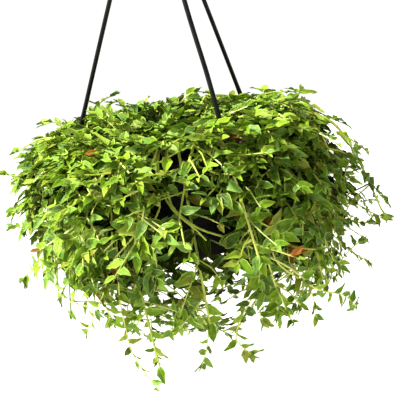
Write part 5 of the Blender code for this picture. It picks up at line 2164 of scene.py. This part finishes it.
def leaf_paint(name, stops, margin, silver, aged, through):
    """A leaf blade: its tone with painted shade at its root, parallel veins, a pale edge that is
    partly a painted highlight, paler base and underside, and thin light.
    """
    paint = Paint(name, stops[1][1], LEAF_ROUGHNESS)
    across = paint.mark("across")
    along = paint.mark("along")
    chance = paint.mark("chance")
    patches = paint.math("MULTIPLY_ADD", paint.noise(PATCH_SCALE, 4.0), *PATCH_TONE)
    tone = paint.math("ADD", paint.mark("tone"), patches)
    # Painted shade: darker at the leaf's root, lighter towards its tip
    tone = paint.math("ADD", tone, paint.math("MULTIPLY_ADD", along, *ROOT_SHADE))
    colour = paint.ramp(tone, stops)
    colour = paint.blend(paint.smooth(chance, *SILVER_STEP), colour, silver)
    colour = paint.blend(paint.smooth(chance, *AGED_STEP), colour, aged)
    veins = paint.math("SINE", paint.math("MULTIPLY", across, VEIN_WAVES))
    colour = paint.blend(paint.smooth(veins, *VEIN_STEP), colour, margin)
    reach = paint.math("ABSOLUTE", across)
    colour = paint.blend(paint.smooth(reach, *MIDRIB_STEP), colour, margin)
    # The pale edge is partly a painted highlight; it, the paler base and underside and the shine fade on
    # leaves that the tone's painted shade darkens
    edge = paint.smooth(paint.mark("tone"), *EDGE_BY_TONE)
    colour = paint.blend(paint.math("MULTIPLY", paint.smooth(reach, *MARGIN_AND_HIGHLIGHT_STEP), edge), colour, margin)
    base = paint.math("MULTIPLY", paint.smooth(along, *BASE_STEP), edge)
    colour = paint.blend(base, colour, margin)
    under = paint.math("MULTIPLY", paint.mark("under"), paint.math("MULTIPLY", edge, UNDER_PALENESS))
    colour = paint.blend(under, colour, margin)
    paint.colour(colour)
    ribs = paint.math("MULTIPLY", veins, VEIN_RELIEF)
    paint.bump(paint.math("ADD", ribs, paint.noise(RELIEF_SCALE, 2.0)), *RELIEF)
    gloss = paint.smooth(paint.noise(GLOSS_SCALE, 2.0), *GLOSS_STEP)
    paint.link(gloss, paint.shader.inputs["Roughness"])
    shine = paint.math("MULTIPLY", edge, LEAF_SHINE)
    paint.link(shine, paint.shader.inputs["Specular IOR Level"])
    thin = paint.add("ShaderNodeBsdfTranslucent")
    paint.link(paint.blend(1.0, colour, through, "MULTIPLY"), thin.inputs["Color"])
    mixed = paint.add("ShaderNodeMixShader")
    mixed.inputs[0].default_value = LEAF_THROUGH_SHARE
    paint.link(paint.shader.outputs[0], mixed.inputs[1])
    paint.link(thin.outputs[0], mixed.inputs[2])
    output = paint.nodes["Material Output"]
    paint.link(mixed.outputs[0], output.inputs["Surface"])
    return paint.material


def stem_paint():
    """Pale stems, with painted shade deep in the plant, and a little ribbed along their length."""
    paint = Paint("pale_stem", STEM_COLOUR, STEM_ROUGHNESS)
    patches = paint.math("MULTIPLY_ADD", paint.noise(STEM_PATCH_SCALE), *STEM_PATCH_TONE)
    tone = paint.math("ADD", paint.mark("tone"), patches)
    paint.colour(paint.ramp(tone, STEM_STOPS))
    ribs = paint.noise(STEM_RIB_SCALE, 2.0, stretch=STEM_RIB_STRETCH)
    paint.bump(ribs, *STEM_RELIEF)
    return paint.material


def plastic_paint(name, roughness, grain, low, high, shine):
    """Black plastic between two dark tones, with a fine grain."""
    paint = Paint(name, BLACK, roughness)
    paint.shader.inputs["Specular IOR Level"].default_value = shine
    patches = paint.noise(PLASTIC_PATCH_SCALE, 4.0)
    colours = [(tone, tone, blue * tone) for tone, blue in zip((low, high), PLASTIC_BLUE)]
    paint.colour(paint.ramp(patches, tuple(zip(PLASTIC_STEP, colours))))
    limits = [roughness + change for change in PLASTIC_ROUGHENING]
    rough = paint.smooth(patches, *PLASTIC_STEP, *limits)
    paint.link(rough, paint.shader.inputs["Roughness"])
    paint.bump(paint.noise(grain, 2.0), *PLASTIC_RELIEF)
    return paint.material


def soil_paint():
    """Dark crumbs of compost."""
    paint = Paint("potting_soil", SOIL_COLOUR, SOIL_ROUGHNESS)
    crumbs = paint.noise(*CRUMBS)
    paint.colour(paint.ramp(crumbs, SOIL_STOPS))
    paint.bump(crumbs, *SOIL_RELIEF)
    return paint.material


# The pieces


def pot_fine_profile():
    """The pot's section with rounded edges and a thin ring where it was moulded."""
    bottom = RIM_Z - POT_HEIGHT
    flange = RIM_Z - FLANGE_THICKNESS
    lip = RIM_Z - LIP_DEPTH
    edge = EDGE_ROUND
    profile = [(0.0, bottom), (POT_BASE_RADIUS - edge, bottom)]
    for degrees in BASE_CURVE:
        radius = pot_outer_radius(bottom + edge) - edge * (1.0 - cos_deg(degrees))
        profile.append((radius, bottom + edge + edge * sin_deg(degrees)))
    for below, groove in POT_RINGS:
        profile.append((pot_outer_radius(RIM_Z - below) - groove, RIM_Z - below))
    profile += [(pot_outer_radius(flange), flange), (RIM_RADIUS - WALL, flange)]
    bevel = BEVEL * edge
    profile += [(RIM_RADIUS - WALL, lip + bevel), (RIM_RADIUS - WALL + bevel, lip)]
    profile += [(RIM_RADIUS - bevel, lip), (RIM_RADIUS, lip + bevel)]
    for degrees in RIM_CURVE:
        profile.append((RIM_RADIUS - edge + edge * cos_deg(degrees), RIM_Z - edge + edge * sin_deg(degrees)))
    inner = POT_TOP_RADIUS - WALL
    profile += [(inner + 0.5 * edge, RIM_Z), (inner, RIM_Z - 0.5 * edge)]
    profile += [(POT_BASE_RADIUS - WALL, bottom + BASE_THICKNESS), (0.0, bottom + BASE_THICKNESS)]
    return profile


def make_fine_pot():
    """The pot with its drain holes and the slots for the arms' feet."""
    # Painted shade: the pot's plastic is darker than the hanger's
    black = plastic_paint("black_pot_plastic", *SHADED_POT_PLASTIC)
    pot = make_object("pot_shell", lathe(pot_fine_profile(), TURNED_SIDES), black)
    cutters = []
    middle = RIM_Z - POT_HEIGHT + 0.5 * BASE_THICKNESS
    for drain in range(DRAIN_COUNT):
        angle = 360.0 * (drain + 0.5) / DRAIN_COUNT
        ends = [polar(DRAIN_RING, angle, middle + turn * 1.5 * BASE_THICKNESS) for turn in (-1, 1)]
        cutters.append(tube(ends, [DRAIN_RADIUS] * 2, DRAIN_SIDES))
    slot = ARM_END_HALF_WIDTH + CLEARANCE
    for angle in ARM_ANGLES.values():
        centre = polar(ARM_FOOT_RADIUS, angle, RIM_Z - 0.5 * FLANGE_THICKNESS)
        axes = (polar(1.0, angle, 0.0), polar(1.0, angle + 90.0, 0.0), UP)
        cutters.append(box(centre, axes, (slot, slot, FLANGE_THICKNESS)))
    combine(pot, cutters, "DIFFERENCE")
    finish_smooth(pot)
    return pot


def make_fine_arm(name, material):
    """The arm through the solid's own points, with a rounder section and a block for its foot."""
    angle = ARM_ANGLES[name]
    knots = arm_centres(name)
    route = Route(knots[:-2])
    centres = route.points[:-1] + [knots[-3], knots[-2], knots[-1]]
    tangent = polar(1.0, angle + 90.0, 0.0)
    ups = []
    for index in range(len(centres)):
        before = centres[max(index - 1, 0)]
        after = centres[min(index + 1, len(centres) - 1)]
        ups.append((after - before).normalized().cross(tangent))
    ups[-1] = polar(1.0, angle, 0.0)
    halves = []
    for centre in centres:
        share = max(0.0, 1.0 - (centre.z - RIM_Z) / ARM_FLARE)
        halves.append(ARM_HALF_WIDTH + (ARM_END_HALF_WIDTH - ARM_HALF_WIDTH) * min(1.0, share))
    across = [tangent] * len(centres)
    shape = sweep(centres, across, ups, halves, halves, ROD_SIDES, math.pi / ROD_SIDES)
    arm = make_object("arm_" + name, shape, material)
    axes = (polar(1.0, angle, 0.0), tangent, UP)
    foot = box(foot_centre(angle), axes, (FOOT_HALF_DEPTH, FOOT_HALF_WIDTH, 0.5 * FOOT_THICKNESS))
    combine(arm, [foot], "UNION")
    finish_smooth(arm)
    return arm


def make_fine_hook(material):
    """Hub and hook with rounder sections, a rounded end and the same three sockets."""
    low = hub_bottom()
    waist = low + HUB_WAIST * HUB_HEIGHT
    edge = HUB_EDGE
    bevel = BEVEL * edge
    profile = [(0.0, low), (HUB_RADIUS - edge, low), (HUB_RADIUS - bevel, low + bevel)]
    profile += [(HUB_RADIUS, low + edge), (HUB_RADIUS, waist - edge)]
    profile.append((HUB_RADIUS - HUB_STEP[0] * edge, waist + HUB_STEP[1] * edge))
    for radius, height in HUB_SHOULDER:
        profile.append((radius * HUB_RADIUS, low + height * HUB_HEIGHT))
    profile.append((0.0, low + HUB_HEIGHT))
    hook = make_object("hook_and_hub", lathe(profile, HUB_SIDES), material)
    knots = hook_centres()
    way = (knots[-1] - knots[-2]).normalized()
    centres = Route(Route(knots).points).points
    radii = [HOOK_ROD_RADIUS] * len(centres)
    for share, size in HOOK_END:
        centres.append(knots[-1] + way * (share * HOOK_END_LENGTH * HOOK_ROD_RADIUS))
        radii.append(size * HOOK_ROD_RADIUS)
    combine(hook, [tube(centres, radii, ROD_SIDES)], "UNION")
    sockets = []
    for name in ARM_ANGLES:
        first, second = arm_centres(name)[:2]
        along = (first - second).normalized()
        radius = ARM_HALF_WIDTH / cos_deg(180.0 / ARM_SIDES) + SOCKET_ROOM * CLEARANCE
        ends = [first + along * CLEARANCE, first - along * (2.0 * SOCKET_DEPTH)]
        sockets.append(tube(ends, [radius] * 2, SOCKET_SIDES))
    combine(hook, sockets, "DIFFERENCE")
    finish_smooth(hook)
    return hook


def make_fine_soil(draw):
    """The soil with a crumbly top and a few pale grains of perlite."""
    (_, bottom), side, edge = soil_profile()[:3]
    profile = [(0.0, bottom), side, (edge[0], edge[1] - SOIL_BEVEL[1])]
    for ring in range(SOIL_RINGS + 1):
        radius = edge[0] * (1.0 - ring / (SOIL_RINGS + 1)) - (SOIL_BEVEL[0] if ring == 0 else 0.0)
        profile.append((radius, soil_height(radius)))
    profile.append((0.0, soil_height(0.0)))
    points, faces = lathe(profile, TURNED_SIDES)
    for point in points:
        if point.z > edge[1] - LUMP_START:
            place = point * LUMPS_PER_METRE
            lump = noise.noise(place)
            for height, fineness in SMALLER_LUMPS:
                lump += height * noise.noise(place * fineness)
            point.z += LUMP_HEIGHT * lump
    soil = make_object("soil_fill", (points, faces), soil_paint())
    soil.data.shade_smooth()
    return soil, make_grains(draw)


def make_grains(draw):
    """Small pale grains of perlite that lie on the soil."""
    form = bmesh.new()
    for _ in range(GRAIN_COUNT):
        radius = GRAIN_RING * math.sqrt(draw.random())
        place = polar(radius, draw.uniform(0.0, 360.0), soil_height(radius) + GRAIN_RISE)
        size = draw.uniform(*GRAIN_SIZES)
        shares = (1.0, draw.uniform(*GRAIN_WIDTHS), draw.uniform(*GRAIN_HEIGHTS), 1.0)
        stretch = Matrix.Diagonal(shares)
        turn = Matrix.Rotation(draw.uniform(0.0, FULL_TURN), 4, "Z")
        pose = Matrix.Translation(place) @ turn @ stretch
        bmesh.ops.create_icosphere(form, subdivisions=1, radius=size, matrix=pose)
    mesh = bpy.data.meshes.new("perlite_grains")
    form.to_mesh(mesh)
    form.free()
    paint = Paint("perlite", PERLITE_COLOUR, 0.9)
    paint.colour(paint.ramp(paint.noise(PERLITE_SCALE), PERLITE_STOPS))
    mesh.materials.append(paint.material)
    return add_object("perlite_grains", mesh)


def solid_tree(name):
    """The faces of one of the part's own solids, to test what would touch it."""
    mesh = frame["nodes"][name].data
    corners = [vertex.co.copy() for vertex in mesh.vertices]
    return BVHTree.FromPolygons(corners, [tuple(polygon.vertices) for polygon in mesh.polygons])


def front_drift(angle, draw):
    """How far a stem at the front swings to its own side as it hangs, as in the photograph."""
    nearness = max(0.0, -sin_deg(angle))
    side = -1.0 if cos_deg(angle - SWING_ANGLE) < 0.0 else 1.0
    return draw.uniform(*FRONT_SWING) * nearness**2 * side + draw.uniform(*SWING_CHANCE)


def add_neighbours(foliage, kind, angle, draw):
    """The further stems round one stem of the solids, which the picture shows but they don't."""
    if kind == "crown":
        for _ in range(CROWN_SPRIGS):
            crown_sprig(foliage, draw)
        return
    for other, step in COMPANIONS[kind]:
        companion(foliage, other, angle + step, draw, front_drift(angle, draw))
    if kind in HANGING_KINDS:
        inner_stem(foliage, angle + INNER_STEP, draw)
        return
    for number in range(DEEP_STEMS):
        middle = angle + (number - 1) * DEEP_STEP
        deep_stem(foliage, middle + draw.uniform(*DEEP_ANGLES), draw)


def make_foliage():
    """A piece for each leafy stem of the solids, and one for the stems in front."""
    order = ["pot", "hanger_hook"] + ["hanger_arm_" + name for name in ARM_ANGLES]
    trees = [solid_tree(name) for name in order]
    leaf = leaf_paint("vine_leaf", LEAF_STOPS, LEAF_EDGE, LEAF_SILVER, LEAF_AGED, LEAF_THROUGH)
    dark, middle = DRY_STOPS[0][1], DRY_STOPS[1][1]
    dry = leaf_paint("dry_leaf", DRY_STOPS, DRY_EDGE, middle, dark, DRY_THROUGH)
    materials = [leaf, stem_paint(), dry]
    for name, kind, angle in vine_list():
        foliage = refine_vine(name, kind, angle, trees)
        add_neighbours(foliage, kind, angle, random.Random(f"more {name}"))
        piece = foliage.make(name + "_foliage", materials)
        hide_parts(name)
        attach(piece, "root")
    draw = random.Random("front")
    foliage = Foliage()
    for thickness, bare_share, size, places in FRONT_STEMS:
        front_stem(foliage, thickness, bare_share, size, places, draw)
    piece = foliage.make("front_stems_foliage", materials)
    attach(piece, "root")


def dress_basket():
    """The pot, the hanger and the soil in place of their solids."""
    pot = make_fine_pot()
    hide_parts("pot")
    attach(pot, "root")
    black = plastic_paint("black_hanger_plastic", *HANGER_PLASTIC)
    for name in ARM_ANGLES:
        arm = make_fine_arm(name, black)
        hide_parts("hanger_arm_" + name)
        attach(arm, "root")
    hook = make_fine_hook(black)
    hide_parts("hanger_hook")
    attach(hook, "root")
    soil, grains = make_fine_soil(random.Random(SEED))
    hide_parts("soil")
    for piece in (soil, grains):
        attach(piece, "root")


# The camera, the floor and the light


def make_camera():
    """The camera that took the photograph."""
    data = bpy.data.cameras.new("camera")
    data.sensor_width = SENSOR
    data.lens = FOCAL_PIXELS / IMAGE_SIDE * SENSOR
    data.shift_y = (AIM_PIXEL[1] - 0.5 * IMAGE_SIDE) / IMAGE_SIDE
    data.clip_start = 0.05
    data.clip_end = 60.0
    camera = add_object("camera", data)
    camera.matrix_world = Matrix.Translation(EYE) @ CAMERA_TURN.to_4x4()
    bpy.context.scene.camera = camera


def add_light(name, kind, place, power, colour):
    """A light that shines on the middle of the plant."""
    data = bpy.data.lights.new(name, kind)
    data.energy = power
    data.color = colour
    for key, value in LIGHT_FORMS[kind].items():
        setattr(data, key, value)
    light = add_object(name, data)
    light.location = place
    light.rotation_mode = "QUATERNION"
    light.rotation_quaternion = (LIGHT_TARGET - Vector(place)).to_track_quat("-Z", "Y")


def make_stage():
    """The pale floor, the light of the studio, and the plain colours of the photograph."""
    corners = [(-1, -1), (1, -1), (1, 1), (-1, 1)]
    points = [Vector((FLOOR_HALF * x, FLOOR_HALF * y, FLOOR_Z)) for x, y in corners]
    floor = make_object("floor", (points, [(0, 1, 2, 3)]))
    floor.data.materials.append(Paint("pale_floor", FLOOR_COLOUR, 0.9).material)
    scene = bpy.context.scene
    scene.view_settings.view_transform = "Standard"
    scene.world = studio_world()
    for light in LIGHTS:
        add_light(*light)


def studio_world():
    """Soft light from all round, in front of a white backdrop."""
    world = bpy.data.worlds.new("studio")
    world.use_nodes = True
    nodes = world.node_tree.nodes
    link = world.node_tree.links.new
    soft = nodes["Background"]
    soft.inputs["Color"].default_value = SOFT_LIGHT
    soft.inputs["Strength"].default_value = SOFT_STRENGTH
    white = nodes.new("ShaderNodeBackground")
    white.inputs["Color"].default_value = BACKDROP
    white.inputs["Strength"].default_value = BACKDROP_STRENGTH
    path = nodes.new("ShaderNodeLightPath")
    mixed = nodes.new("ShaderNodeMixShader")
    link(path.outputs["Is Camera Ray"], mixed.inputs[0])
    link(soft.outputs[0], mixed.inputs[1])
    link(white.outputs[0], mixed.inputs[2])
    link(mixed.outputs[0], nodes["World Output"].inputs["Surface"])
    return world


dress_basket()
make_foliage()
make_stage()
make_camera()
bpy.context.view_layer.update()
